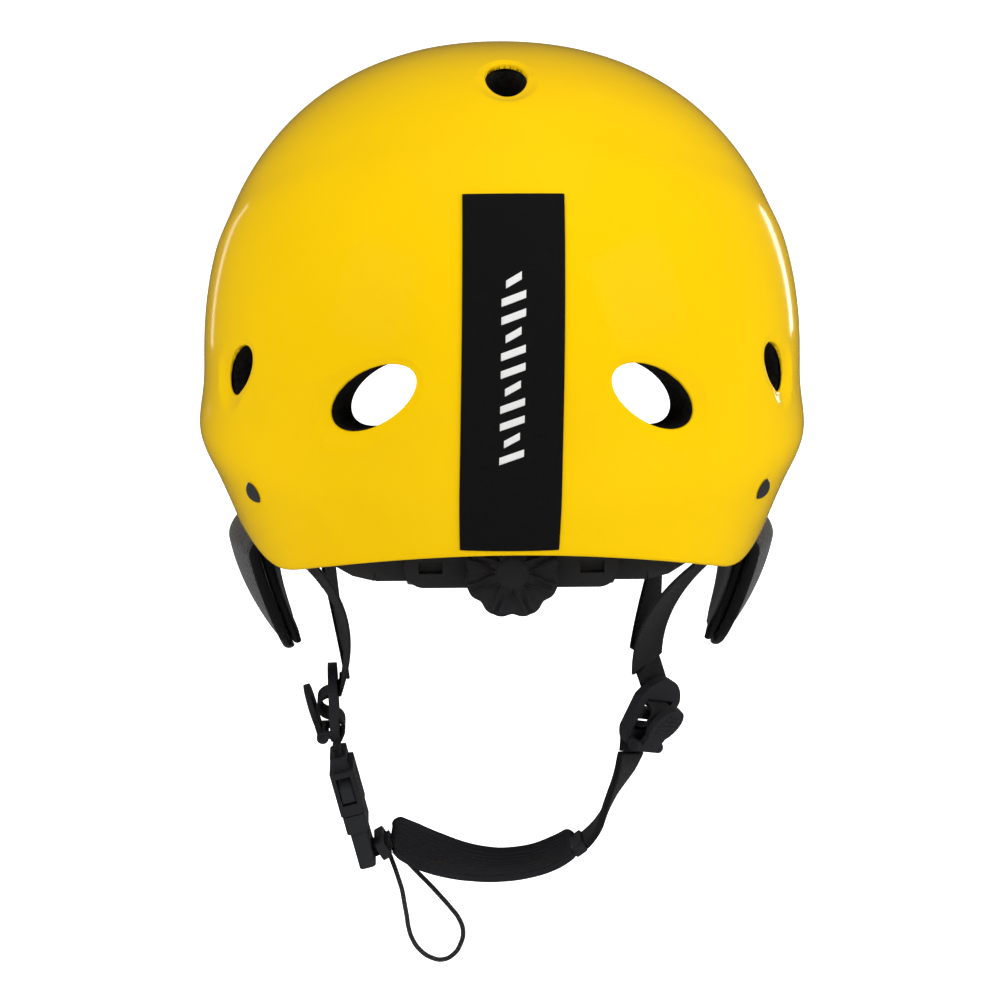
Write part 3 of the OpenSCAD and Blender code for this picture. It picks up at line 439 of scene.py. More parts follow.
@dataclass(frozen=True)
class Finish:
    """One material of the helmet.

    Attributes:
        slot: The record's material slot that it stands for.
        colour: Linear base colour.
        accent: Colour of its threads, flecks or worn places.
        roughness: Lowest and highest roughness.
        pattern: The surface pattern.
        scale: How fine the pattern is.
        depth: Height of the pattern in metres.
        metallic: 1 for metal.
        coat: Weight of the clear gloss over the colour.
        sheen: Weight of the cloth sheen.
        scuffs: How much handling wear shows.
    """

    slot: str
    colour: tuple[float, float, float]
    accent: tuple[float, float, float]
    roughness: tuple[float, float]
    pattern: Pattern = Pattern.GRAIN
    scale: float = 900.0
    depth: float = 0.00004
    metallic: float = 0.0
    coat: float = 0.0
    sheen: float = 0.0
    scuffs: float = 0.4
    specular: float = 0.5

    def build(self, groups: dict[str, bpy.types.NodeTree]) -> bpy.types.Material:
        """Makes the material.

        Args:
            groups: The shared node groups by short name.

        Returns:
            The finished material.
        """
        material = bpy.data.materials.new("finish_" + self.slot)
        material.use_nodes = True
        board = Board(material.node_tree)
        shader = material.node_tree.nodes["Principled BSDF"]
        links = material.node_tree.links
        place = board.add("ShaderNodeTexCoord").outputs["Object"]
        height, mask = self.surface(board, groups, place)
        scuffs = board.add("ShaderNodeGroup", node_tree=groups["scuffs"], in_Vector=place,
                           in_Density=self.scuffs)
        tone = board.add("ShaderNodeTexNoise", in_Vector=place, in_Scale=11.0, in_Detail=2.0)
        mix = board.add("ShaderNodeMix", data_type="RGBA", in_0=mask)
        mix.inputs["A"].default_value = (*self.colour, 1)
        mix.inputs["B"].default_value = (*self.accent, 1)
        shade = board.add("ShaderNodeHueSaturation", in_Color=mix.outputs["Result"],
                          in_Value=board.math("MULTIPLY_ADD", tone.outputs["Fac"], 0.16, 0.92))
        links.new(shade.outputs["Color"], shader.inputs["Base Color"])
        low, high = self.roughness
        worn = board.math("MAXIMUM", scuffs.outputs["Patches"], scuffs.outputs["Scratches"])
        rough = board.math("MULTIPLY_ADD", worn, high - low, low)
        links.new(board.math("MULTIPLY_ADD", tone.outputs["Fac"], (high - low) * 0.2, rough),
                  shader.inputs["Roughness"])
        bump = board.add("ShaderNodeBump", in_Height=height, in_Strength=1.0)
        bump.inputs["Distance"].default_value = self.depth
        links.new(bump.outputs["Normal"], shader.inputs["Normal"])
        shader.inputs["Metallic"].default_value = self.metallic
        shader.inputs["Specular IOR Level"].default_value = self.specular
        shader.inputs["Coat Weight"].default_value = self.coat
        shader.inputs["Coat Roughness"].default_value = 0.04
        shader.inputs["Sheen Weight"].default_value = self.sheen
        shader.inputs["Sheen Roughness"].default_value = 0.6
        return material

    def surface(self, board: Board, groups: dict[str, bpy.types.NodeTree],
                place: object) -> tuple[object, object]:
        """Adds the pattern's nodes.

        Args:
            board: The material's node tree.
            groups: The shared node groups.
            place: The Object coordinates' socket.

        Returns:
            Sockets for the height and for the accent's mask.
        """
        if self.pattern is Pattern.WEAVE:
            uv = board.add("ShaderNodeUVMap", uv_map="strip").outputs[0]
            node = board.add("ShaderNodeGroup", node_tree=groups["weave"], in_Vector=uv,
                             in_Ribs=self.scale)
            lift = board.math("MULTIPLY_ADD", node.outputs["Selvedge"], 0.6,
                              node.outputs["Height"])
            return lift, board.math("MULTIPLY", node.outputs["Thread"], 0.8)
        if self.pattern is Pattern.HEATHER:
            node = board.add("ShaderNodeGroup", node_tree=groups["heather"], in_Vector=place,
                             in_Scale=self.scale)
            return node.outputs["Height"], node.outputs["Fleck"]
        if self.pattern is Pattern.BRUSHED:
            mapping = board.add("ShaderNodeMapping", in_Vector=place)
            mapping.inputs["Scale"].default_value = (1.0, 1.0, 9.0)
            noise = board.add("ShaderNodeTexNoise", in_Vector=mapping.outputs[0],
                              in_Scale=self.scale, in_Detail=4.0)
            return noise.outputs["Fac"], board.ramp(noise.outputs["Fac"], 0.45, 0.9)
        if self.pattern is Pattern.BRAID:
            waves = []
            for direction in ("DIAGONAL", "Z"):
                wave = board.add("ShaderNodeTexWave", bands_direction=direction, in_Vector=place,
                                 in_Scale=self.scale, in_Distortion=1.5)
                waves.append(wave.outputs["Fac"])
            braid = board.math("MULTIPLY", waves[0], waves[1])
            return braid, board.ramp(braid, 0.4, 0.9)
        if self.pattern is Pattern.CELLS:
            cells = board.add("ShaderNodeTexVoronoi", in_Vector=place, in_Scale=self.scale)
            return cells.outputs["Distance"], board.ramp(cells.outputs["Distance"], 0.35, 0.8)
        if self.pattern is Pattern.VINYL:
            waves = []
            for direction in ("X", "Z"):
                wave = board.add("ShaderNodeTexWave", bands_direction=direction, in_Vector=place,
                                 in_Scale=self.scale)
                waves.append(wave.outputs["Fac"])
            check = board.math("ABSOLUTE", board.math("SUBTRACT", waves[0], waves[1]))
            return check, board.math("MULTIPLY", check, 0.5)
        node = board.add("ShaderNodeGroup", node_tree=groups["grain"], in_Vector=place,
                         in_Scale=self.scale)
        return node.outputs["Height"], board.ramp(node.outputs["Tone"], 0.55, 0.8)


FINISHES: tuple[Finish, ...] = (
    Finish("shell_gloss", (0.96, 0.60, 0.0), (0.93, 0.55, 0.0), (0.09, 0.26), depth=0.000003,
           scale=320.0, coat=0.08, scuffs=0.12, specular=0.3),
    Finish("strip_vinyl", (0.0045, 0.004, 0.0045), (0.011, 0.01, 0.011), (0.34, 0.5),
           Pattern.VINYL, 420.0, 0.00004, scuffs=0.3),
    Finish("foam", (0.008, 0.007, 0.007), (0.017, 0.016, 0.016), (0.62, 0.8), Pattern.CELLS, 700.0,
           0.0002, scuffs=0.2, specular=0.3),
    Finish("pad_fabric", (0.022, 0.022, 0.024), (0.05, 0.05, 0.054), (0.8, 0.95), Pattern.HEATHER,
           520.0, 0.0002, sheen=0.35, scuffs=0.2, specular=0.25),
    Finish("hook_tape", (0.03, 0.03, 0.033), (0.07, 0.07, 0.075), (0.8, 0.95), Pattern.CELLS,
           1500.0, 0.0004, sheen=0.2),
    Finish("rivet_metal", (0.66, 0.66, 0.68), (0.5, 0.5, 0.52), (0.08, 0.3), Pattern.BRUSHED,
           500.0, 0.000004, metallic=1.0, scuffs=0.5),
    Finish("anchor_plastic", (0.016, 0.016, 0.017), (0.028, 0.028, 0.03), (0.42, 0.6)),
    Finish("webbing", (0.006, 0.006, 0.0068), (0.02, 0.02, 0.022), (0.62, 0.85), Pattern.WEAVE,
           9.0, 0.00022, sheen=0.06, scuffs=0.3, specular=0.3),
    Finish("buckle_plastic", (0.021, 0.0215, 0.025), (0.036, 0.037, 0.042), (0.3, 0.52),
           scale=1100.0, depth=0.00003, scuffs=0.6),
    Finish("plug_plastic", (0.024, 0.025, 0.028), (0.04, 0.041, 0.045), (0.3, 0.52),
           scale=1100.0, depth=0.00003, scuffs=0.6),
    Finish("chin_rubber", (0.016, 0.016, 0.019), (0.03, 0.03, 0.035), (0.16, 0.42),
           scale=500.0, depth=0.00003, coat=0.25, scuffs=0.5),
    Finish("cord", (0.009, 0.009, 0.009), (0.035, 0.035, 0.036), (0.6, 0.85), Pattern.BRAID, 260.0,
           0.00015, sheen=0.2),
    Finish("ear_fabric", (0.013, 0.013, 0.0145), (0.06, 0.06, 0.064), (0.78, 0.95),
           Pattern.HEATHER, 620.0, 0.00025, sheen=0.2, scuffs=0.2, specular=0.25),
    Finish("ear_rubber", (0.0065, 0.0065, 0.007), (0.012, 0.012, 0.013), (0.14, 0.36),
           scale=500.0, depth=0.00002, coat=0.3),
    Finish("cradle_plastic", (0.026, 0.0255, 0.027), (0.038, 0.038, 0.04), (0.38, 0.58),
           scale=800.0, depth=0.00005, scuffs=0.5),
    Finish("dial_plastic", (0.021, 0.0205, 0.023), (0.034, 0.034, 0.038), (0.4, 0.6),
           scale=700.0, depth=0.00006, scuffs=0.6),
    Finish("gear_plastic", (0.6, 0.6, 0.56), (0.5, 0.5, 0.46), (0.3, 0.5)),
    Finish("spring_steel", (0.55, 0.55, 0.57), (0.42, 0.42, 0.44), (0.2, 0.42), Pattern.BRUSHED,
           700.0, 0.000006, metallic=1.0),
    Finish("mark_ink", (0.8, 0.8, 0.79), (0.72, 0.72, 0.7), (0.35, 0.55), scale=900.0,
           depth=0.00001, scuffs=0.5),
)


class Wardrobe:
    """Every finish of the helmet, built once and handed out by slot."""

    def __init__(self) -> None:
        """Builds the shared groups and all materials."""
        groups = {"grain": grain_group(), "scuffs": scuff_group(), "weave": weave_group(),
                  "heather": heather_group()}
        self.materials = {finish.slot: finish.build(groups) for finish in FINISHES}

    def dress(self, obj: bpy.types.Object, finish: str) -> None:
        """Gives an object one finish over all its faces."""
        material = self.materials[finish]
        if obj.type == "MESH" and not len(obj.data.materials) or obj.type != "MESH":
            obj.data.materials.clear()
            obj.data.materials.append(material)
        else:
            for entry in obj.material_slots:
                entry.link = "OBJECT"
                entry.material = material

    def place(self, obj: bpy.types.Object, finish: str, body: str, replaces: Sequence[str] = (),
              slot: str | None = None) -> bpy.types.Object:
        """Dresses a finished piece, hangs it on its body and hides the frame's nodes that it
        stands for.

        Args:
            obj: The piece.
            finish: The finish it wears.
            body: The body it rides on.
            replaces: The frame's nodes that it stands for.
            slot: The record's slot, where it isn't the finish's own. Not used.

        Returns:
            The same piece.
        """
        self.dress(obj, finish)
        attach(obj, body)
        if replaces:
            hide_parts(*replaces)
        LOG.info("%s rides on %s", obj.name, body)
        return obj


# ------------------------------------------------------------------ the dome's form


@dataclass(frozen=True)
class Vent:
    """An elliptical vent: its place, half sizes in millimetres and roll in degrees."""

    angle: float
    level: float
    half_length: float
    half_width: float
    roll: float

    def twin(self) -> "Vent":
        """Returns the same vent on the other side of the helmet."""
        return Vent(180 - self.angle, self.level, self.half_length, self.half_width, -self.roll)


SIDE_VENTS = (Vent(295.3, 6, 18.4, 9.4, 60), Vent(328.3, 6.6, 13, 7.3, 52),
              Vent(22, 102, 13, 7, 0), Vent(65.5, 30, 16, 8, -60))
VENTS = (Vent(270, 104.2, 14, 7.6, 0), Vent(90, 103, 11, 6.6, 0), *SIDE_VENTS,
         *(vent.twin() for vent in SIDE_VENTS))
REAR_RIVET = (324.0, -34.0)
FRONT_RIVET = (38.0, -16.0)


@dataclass(frozen=True)
class DomeForm:
    """The rule of the helmet's dome, in millimetres and degrees from its equator."""

    half_length: float = 129.0
    half_width: float = 104.5
    crown: float = 110.0
    taper: float = 0.05
    band_step: float = 0.9
    brow_drop: float = 20.0
    ear_drop: float = 53.0
    nape_drop: float = 43.5
    power: float = 2.24
    equator: float = 0.72
    corner_sag: float = 27.7

    def rim_level(self, a: np.ndarray) -> np.ndarray:
        """Returns the rim's height at plan angles a."""
        sine = np.sin(np.radians(a))
        from_rear = np.degrees(np.arccos(np.clip(-sine, -1, 1)))
        rear = -self.nape_drop - self.corner_sag * np.sin(np.radians(from_rear)) ** 2
        side = blend(-self.ear_drop, -self.brow_drop, smooth_step(np.maximum(0, sine) / 0.95))
        return blend(rear, side, smooth_step((from_rear - 48) / 30))

    def share_at(self, a: np.ndarray, z: np.ndarray) -> np.ndarray:
        """Returns the share of the way from crown to rim at level z."""
        a, z = np.broadcast_arrays(np.asarray(a, float), np.asarray(z, float))
        rise = np.clip(z / self.crown, 0, 1) ** (self.power / 2)
        upper = self.equator * (1 - np.degrees(np.arcsin(rise)) / 90)
        lower = self.equator + (1 - self.equator) * z / self.rim_level(a)
        return np.where(z > 0, upper, lower)

    def point(self, a: np.ndarray, v: np.ndarray, off: np.ndarray = 0.0) -> np.ndarray:
        """Finds points of the shell.

        Args:
            a: Plan angles in degrees, 0 at the wearer's right and 90 at the face.
            v: Shares of the way from crown to rim.
            off: Distance outwards from the shell's outer face.

        Returns:
            The points, in the dome's frame.
        """
        a, v, off = np.broadcast_arrays(np.asarray(a, float), np.asarray(v, float),
                                        np.asarray(off, float))
        turn = np.radians(a)
        upper = v < self.equator
        climb = np.where(upper, (1 - v / self.equator) * math.pi / 2, 0)
        power = 2 / self.power
        z = np.where(upper, self.crown * np.sin(climb) ** power,
                     self.rim_level(a) * (v - self.equator) / (1 - self.equator))
        s = np.where(upper, np.abs(np.cos(climb)) ** power, 1)
        cosine, sine = np.cos(turn), np.sin(turn)
        x = self.half_width * s * cosine * (1 - self.taper * sine * s)
        y = self.half_length * s * sine
        n = unit(np.stack([s * cosine / self.half_width, s * sine / self.half_length,
                           np.maximum(0, z) / self.crown**2 + (v <= 0)], -1))
        depth = np.maximum(0, -22 - z)
        lean = np.where(depth < 12, depth**2 / 24, depth - 6)
        lean = lean * (0.42 * cosine**2 + 0.16 * np.maximum(0, -sine) ** 2
                       + 0.05 * np.maximum(0, sine) ** 2)
        out = (off - lean + self.band_step * smooth_step((42 - z - 0.5 * y) / 16 + 0.5)
               + 2.0 * np.exp(-(((z + 22) / 11) ** 2)) * np.abs(cosine) ** 3)
        return np.stack([x, y, z], -1) + n * out[..., None]

    def at(self, a: np.ndarray, z: np.ndarray, off: np.ndarray = 0.0) -> np.ndarray:
        """Returns points of the shell at plan angles a and levels z."""
        return self.point(a, self.share_at(a, z), off)

    def normal(self, a: float, z: float) -> np.ndarray:
        """Returns the outward direction of the shell at one place."""
        return unit(np.cross(self.at(a + 0.5, z) - self.at(a - 0.5, z),
                             self.at(a, z + 0.5) - self.at(a, z - 0.5)))

    def axes(self, vent: Vent) -> tuple[np.ndarray, np.ndarray, np.ndarray, np.ndarray]:
        """Returns a vent's centre, long axis, short axis and outward direction."""
        n = self.normal(vent.angle, vent.level)
        tilt, heading, roll = math.acos(n[2]), math.atan2(n[1], n[0]), math.radians(vent.roll)
        turn = Matrix.Rotation(heading, 3, "Z") @ Matrix.Rotation(tilt, 3, "Y")
        turn = turn @ Matrix.Rotation(roll, 3, "Z")
        columns = np.array(turn)
        return self.at(vent.angle, vent.level), columns[:, 0], columns[:, 1], n

    def locate(self, vent: Vent, flat: np.ndarray, off: np.ndarray) -> np.ndarray:
        """Finds the shell's points straight above places in a vent's plane.

        Args:
            vent: The vent whose plane is used.
            flat: Pairs of distances along the vent's long and short axes.
            off: Distance outwards from the shell's outer face, one each.

        Returns:
            The points, in the dome's frame.
        """
        centre, e1, e2, _ = self.axes(vent)
        frame2 = np.stack([e1, e2], 1)
        a = np.full(len(flat), float(vent.angle))
        v = np.full(len(flat), float(self.share_at(vent.angle, vent.level)))
        nudge_a, nudge_v = 0.05, 0.0005
        for _ in range(14):
            here = self.point(a, v, off) @ frame2 - centre @ frame2
            miss = here - flat
            da = (self.point(a + nudge_a, v, off) @ frame2 - centre @ frame2 - here) / nudge_a
            dv = (self.point(a, v + nudge_v, off) @ frame2 - centre @ frame2 - here) / nudge_v
            det = da[:, 0] * dv[:, 1] - da[:, 1] * dv[:, 0]
            det = np.where(np.abs(det) < 1e-9, 1e-9, det)
            step_a = (miss[:, 0] * dv[:, 1] - miss[:, 1] * dv[:, 0]) / det
            step_v = (miss[:, 1] * da[:, 0] - miss[:, 0] * da[:, 1]) / det
            a = a - np.clip(step_a, -6, 6)
            v = np.clip(v - np.clip(step_v, -0.04, 0.04), 0.01, 1.0)
        return self.point(a, v, off)


DOME = DomeForm()


@dataclass
class VentedDome:
    """A closed dome wall with its vents cut in, each with a soft lip.

    Attributes:
        outer: Distance of the outer face from the shell's own outer face.
        inner: Distance of the inner face from it.
        cols: Columns round the dome.
        rows: Rows from crown to rim.
        spread: How much wider the vents are than the shell's.
        lip_depth: How far the outer face dips at a vent.
        margin: How far round a vent the rings reach.
        edge_round: Radius of the rounded rim and vent edges.
    """

    outer: float
    inner: float
    cols: int
    rows: int
    spread: float = 0.0
    lip_depth: float = 0.0
    margin: float = 8.0
    edge_round: float = 0.5
    edge: Callable[[np.ndarray], np.ndarray] = lambda a: np.ones_like(a)

    def lip(self, vent: Vent, turn: np.ndarray, distance: np.ndarray) -> np.ndarray:
        """Returns how far the outer face dips at places round a vent.

        Args:
            vent: The vent.
            turn: Angle round the ellipse at each place.
            distance: Distance from the vent's edge.

        Returns:
            The dip in millimetres.
        """
        _, e1, e2, _ = DOME.axes(vent)
        centre = DOME.at(vent.angle, vent.level)
        away = np.array([centre[0], 0.0, -20.0 if abs(centre[2]) < 60 else 0.0])
        if abs(vent.angle - 180) == 90:
            away = np.array([0.0, centre[1], 0.0])
        heading = math.atan2(away @ e2, away @ e1)
        facing = np.clip(np.cos(turn - heading), 0, 1)
        depth = self.lip_depth * (0.3 + 0.7 * facing)
        width = 2.2 + 4.3 * facing
        t = np.clip(distance / width, 0, 1)
        return depth * (1 - t) * (1 + 0.6 * t)

    def build(self, name: str) -> bpy.types.Object:
        """Makes the mesh.

        Args:
            name: The piece's name.

        Returns:
            The new object.
        """
        cols, rows = self.cols, self.rows
        angle = np.arange(cols) * 360.0 / cols
        shares = np.arange(1, rows + 1) / rows
        a, share = np.meshgrid(angle, shares)
        v = share * self.edge(a)
        layers = []
        for off in (self.outer, self.inner):
            pole = DOME.point(0.0, 0.0, off)[None]
            layers.append(np.vstack([pole, DOME.point(a, v, off).reshape(-1, 3)]))
        points = [layers[0], layers[1]]
        count = len(layers[0])
        grid = 1 + np.arange(rows * cols).reshape(rows, cols)
        right = np.roll(grid, -1, 1)
        quads = np.stack([grid[:-1], grid[1:], right[1:], right[:-1]], -1).reshape(-1, 4)
        dropped = np.zeros(count, bool)
        owner = np.full(count, -1)
        for number, vent in enumerate(VENTS):
            centre, e1, e2, n = DOME.axes(vent)
            rel = layers[0] - centre
            x, y = rel @ e1, rel @ e2
            inside = ((x / (vent.half_length + self.spread + self.margin)) ** 2
                      + (y / (vent.half_width + self.spread + self.margin)) ** 2 < 1)
            inside &= np.abs(rel @ n) < 30
            dropped |= inside
            owner[inside] = number
        kept = ~dropped[quads].any(1)
        faces: list[Face] = quads[kept].tolist()
        inner_faces = [[i + count for i in reversed(face)] for face in faces]
        fan = [[0, int(grid[0, j]), int(grid[0, (j + 1) % cols])] for j in range(cols)]
        inner_fan = [[i + count for i in reversed(face)] for face in fan]
        base = 2 * count
        extra: list[Face] = []
        for number, vent in enumerate(VENTS):
            gone = quads[~kept & (owner[quads] == number).any(1)]
            loop = self.border(gone)
            added, rings = self.rings(vent, layers, loop, base, count)
            points.append(added)
            extra += rings
            base += len(added)
        rim_points, rim_faces = self.rim(layers, grid[-1], base, count)
        points.append(rim_points)
        obj = new_object(name, np.vstack(points), faces + inner_faces + fan + inner_fan + extra
                         + rim_faces)
        return self.cleaned(obj)

    def cleaned(self, obj: bpy.types.Object) -> bpy.types.Object:
        """Removes vertices that no face uses."""
        work = bmesh.new()
        work.from_mesh(obj.data)
        loose = [vertex for vertex in work.verts if not vertex.link_faces]
        bmesh.ops.delete(work, geom=loose, context="VERTS")
        work.to_mesh(obj.data)
        work.free()
        return obj

    def border(self, gone: np.ndarray) -> list[int]:
        """Returns the ordered border of a patch of removed faces."""
        edges = {}
        for face in gone.tolist():
            for k in range(4):
                edges[(face[k], face[(k + 1) % 4])] = True
        following = {p: q for p, q in edges if (q, p) not in edges}
        start = next(iter(following))
        loop, current = [start], following[start]
        while current != start:
            loop.append(current)
            current = following[current]
        return loop

    def rings(self, vent: Vent, layers: list[np.ndarray], loop: list[int], base: int,
              count: int) -> tuple[np.ndarray, list[Face]]:
        """Fills the space between a border loop and a vent's edge, through the wall.

        Args:
            vent: The vent.
            layers: Points of the outer and the inner face.
            loop: The border as indices of the outer face.
            base: Index of the first new point.
            count: Number of points of one layer.

        Returns:
            New points and faces.
        """
        centre, e1, e2, _ = DOME.axes(vent)
        size = np.array([vent.half_length + self.spread, vent.half_width + self.spread])
        flat = []
        for layer in layers:
            rel = layer[loop] - centre
            flat.append(np.stack([rel @ e1, rel @ e2], 1))
        turn = np.unwrap(np.arctan2(flat[0][:, 1] / size[1], flat[0][:, 0] / size[0]))
        way = np.sign(turn[-1] - turn[0])
        steps = way * 2 * math.pi * np.arange(len(loop)) / len(loop)
        even = steps + np.mean(turn - steps)
        ordered = way * np.maximum.accumulate(way * turn)
        even = blend(even, ordered, POLE_SHARE if abs(vent.angle - 180) == 90 else 0.0)
        radius = self.edge_round

        def ring(side: int, share: float, inset: float, off: float) -> np.ndarray:
            rim = np.stack([np.cos(even), np.sin(even)], 1) * (size - inset)
            place = rim + (flat[side] - rim) * share
            distance = np.linalg.norm(place - rim, axis=1)
            dip = self.lip(vent, even, distance) if side == 0 and self.lip_depth else 0.0
            return DOME.locate(vent, place, off - dip)

        rows = [ring(0, share, 0.0, self.outer) for share in (0.86, 0.72, 0.58, 0.46, 0.36, 0.27,
                                                              0.19, 0.12, 0.06)]
        rows += [ring(0, 0.0, -radius * 0.2, self.outer),
                 ring(0, 0.0, radius * 0.45, self.outer - radius * 0.25),
                 ring(0, 0.0, radius * 0.8, self.outer - radius * 0.9)]
        deep = self.outer - self.lip_depth - radius * 1.2
        for share in (0.0, 0.5, 1.0):
            rows.append(ring(1, 0.0, radius * 0.8, blend(min(deep, self.inner + radius),
                                                         self.inner + radius * 0.6, share)))
        rows += [ring(1, 0.0, 0.0, self.inner)]
        rows += [ring(1, share, 0.0, self.inner) for share in (0.2, 0.45, 0.72)]
        total = len(loop)
        outer_loop = np.array(loop)
        chain = [outer_loop] + [base + k * total + np.arange(total) for k in range(len(rows))]
        chain.append(outer_loop + count)
        return np.vstack(rows), bridged(chain)

    def rim(self, layers: list[np.ndarray], last: np.ndarray, base: int,
            count: int) -> tuple[np.ndarray, list[Face]]:
        """Closes the wall along the rim with a rounded edge.

        Args:
            layers: Points of the outer and the inner face.
            last: Indices of the lowest row.
            base: Index of the first new point.
            count: Number of points of one layer.

        Returns:
            New points and faces.
        """
        top, bottom = layers[0][last], layers[1][last]
        middle, half = (top + bottom) / 2, (top - bottom) / 2
        above = layers[0][last - len(last)]
        down = unit(top - above)
        reach = min(self.edge_round * 2.4, np.linalg.norm(half[0]) * 0.9)
        rows = []
        for k in range(1, 6):
            turn = math.pi * k / 6
            rows.append(middle + half * math.cos(turn) + down * reach * math.sin(turn))
        total = len(last)
        chain = [last] + [base + k * total + np.arange(total) for k in range(5)] + [last + count]
        return np.vstack(rows), bridged(chain)


def patch_slab(a: tuple[float, float], z: tuple[float, float], off: tuple[float, float],
               size: tuple[int, int],
               crown: float = 0.0) -> tuple[np.ndarray, list[Face], np.ndarray]:
    """Makes a closed piece of the head form between two plan angles and levels.

    Args:
        a: First and last plan angle.
        z: Upper and lower level.
        off: Distance of its outer and inner face from the shell.
        size: Columns and rows.
        crown: How far the inner face swells at the middle.

    Returns:
        Points, faces and a row-and-column value for each point.
    """
    angles, levels = np.meshgrid(np.linspace(*a, size[0]), np.linspace(*z, size[1]))
    u = np.abs(np.linspace(-1, 1, size[0]))[None, :]
    w = np.abs(np.linspace(-1, 1, size[1]))[:, None]
    swell = (1 - u**4) * (1 - w**4)
    pinch = 0.32 * abs(off[0] - off[1]) * (1 - np.clip(swell * 2.2, 0, 1)) if crown else 0.0
    front = DOME.at(angles, levels, off[0])
    back = DOME.at(angles, levels, off[1] - crown * swell + pinch)
    return closed_grid(front, back)


# ------------------------------------------------------------------ geometry node tools


class NodeWorks:
    """Geometry node trees for repeated details, and the means to apply them."""

    def __init__(self) -> None:
        """Builds both trees."""
        self.round_tree = self.build_round()
        self.stitch_tree = self.build_stitches()

    @staticmethod
    def start(name: str, sockets: Sequence[tuple[str, str]]) -> tuple[Board, object, object]:
        """Starts a tree with geometry in and out and named inputs."""
        tree = bpy.data.node_groups.new(name, "GeometryNodeTree")
        tree.interface.new_socket("Geometry", in_out="INPUT", socket_type="NodeSocketGeometry")
        for label, kind in sockets:
            tree.interface.new_socket(label, in_out="INPUT", socket_type=kind)
        tree.interface.new_socket("Geometry", in_out="OUTPUT", socket_type="NodeSocketGeometry")
        board = Board(tree)
        return board, board.add("NodeGroupInput"), board.add("NodeGroupOutput")

    def build_round(self) -> bpy.types.NodeTree:
        """Builds the tree that repeats one sector round the Y axis and welds the copies."""
        board, start, end = self.start("copies_round_axis", [
            ("Count", "NodeSocketInt"), ("Material", "NodeSocketMaterial")])
        links = board.tree.links
        points = board.add("GeometryNodePoints", in_Count=start.outputs["Count"])
        index = board.add("GeometryNodeInputIndex")
        turn = board.math("DIVIDE", board.math("MULTIPLY", index.outputs[0], 2 * math.pi),
                          start.outputs["Count"])
        spin = board.add("ShaderNodeCombineXYZ", in_Y=turn)
        rotation = board.add("FunctionNodeEulerToRotation", in_Euler=spin.outputs[0])
        copies = board.add("GeometryNodeInstanceOnPoints", in_Points=points.outputs[0],
                           in_Instance=start.outputs["Geometry"], in_Rotation=rotation.outputs[0])
        real = board.add("GeometryNodeRealizeInstances", in_Geometry=copies.outputs[0])
        weld = board.add("GeometryNodeMergeByDistance", in_Geometry=real.outputs[0],
                         in_Distance=0.00002)
        dressed = board.add("GeometryNodeSetMaterial", in_Geometry=weld.outputs[0],
                            in_Material=start.outputs["Material"])
        links.new(dressed.outputs[0], end.inputs["Geometry"])
        return board.tree

    def build_stitches(self) -> bpy.types.NodeTree:
        """Builds the tree that lays small rounded stitches along a line."""
        board, start, end = self.start("stitch_row", [
            ("Pitch", "NodeSocketFloat"), ("Stitch", "NodeSocketFloat"),
            ("Thread", "NodeSocketFloat"), ("Material", "NodeSocketMaterial")])
        links = board.tree.links
        curve = board.add("GeometryNodeMeshToCurve", in_Mesh=start.outputs["Geometry"])
        even = board.add("GeometryNodeResampleCurve", mode="LENGTH", in_Curve=curve.outputs[0],
                         in_Length=start.outputs["Pitch"])
        tangent = board.add("GeometryNodeInputTangent")
        aim = board.add("FunctionNodeAlignRotationToVector", axis="Z",
                        in_Vector=tangent.outputs[0])
        bead = board.add("GeometryNodeMeshUVSphere", in_Segments=6, in_Rings=4, in_Radius=1.0)
        size = board.add("ShaderNodeCombineXYZ", in_X=start.outputs["Thread"],
                         in_Y=start.outputs["Thread"], in_Z=start.outputs["Stitch"])
        copies = board.add("GeometryNodeInstanceOnPoints", in_Points=even.outputs[0],
                           in_Instance=bead.outputs[0], in_Rotation=aim.outputs[0],
                           in_Scale=size.outputs[0])
        real = board.add("GeometryNodeRealizeInstances", in_Geometry=copies.outputs[0])
        smooth = board.add("GeometryNodeSetShadeSmooth", in_Geometry=real.outputs[0])
        dressed = board.add("GeometryNodeSetMaterial", in_Geometry=smooth.outputs[0],
                            in_Material=start.outputs["Material"])
        links.new(dressed.outputs[0], end.inputs["Geometry"])
        return board.tree

    @staticmethod
    def run(obj: bpy.types.Object, tree: bpy.types.NodeTree, values: dict[str, object]) -> None:
        """Runs a tree on an object and keeps the result as its mesh.

        Args:
            obj: The object.
            tree: The geometry node tree.
            values: The tree's inputs by name.
        """
        modifier = obj.modifiers.new(tree.name, "NODES")
        modifier.node_group = tree
        for item in tree.interface.items_tree:
            if item.item_type == "SOCKET" and item.in_out == "INPUT" and item.name in values:
                modifier[item.identifier] = values[item.name]
        apply_modifiers(obj)

    def stitches(self, name: str, lines: Sequence[np.ndarray], material: bpy.types.Material,
                 pitch: float = 2.6, stitch: float = 0.95,
                 thread: float = 0.22) -> bpy.types.Object:
        """Sews rows of stitches.

        Args:
            name: The piece's name.
            lines: Points along each row, in millimetres.
            material: The thread's material.
            pitch: Distance between stitches.
            stitch: Half length of a stitch.
            thread: Radius of the thread.

        Returns:
            The stitches as one object.
        """
        points, edges, base = [], [], 0
        for line in lines:
            points.append(np.asarray(line, float))
            edges += [(base + k, base + k + 1) for k in range(len(line) - 1)]
            base += len(line)
        mesh = bpy.data.meshes.new(name)
        mesh.from_pydata(in_part_frame(np.vstack(points)).tolist(), edges, [])
        obj = bpy.data.objects.new(name, mesh)
        bpy.context.scene.collection.objects.link(obj)
        self.run(obj, self.stitch_tree, {"Pitch": pitch * MM, "Stitch": stitch * MM,
                                         "Thread": thread * MM, "Material": material})
        return obj


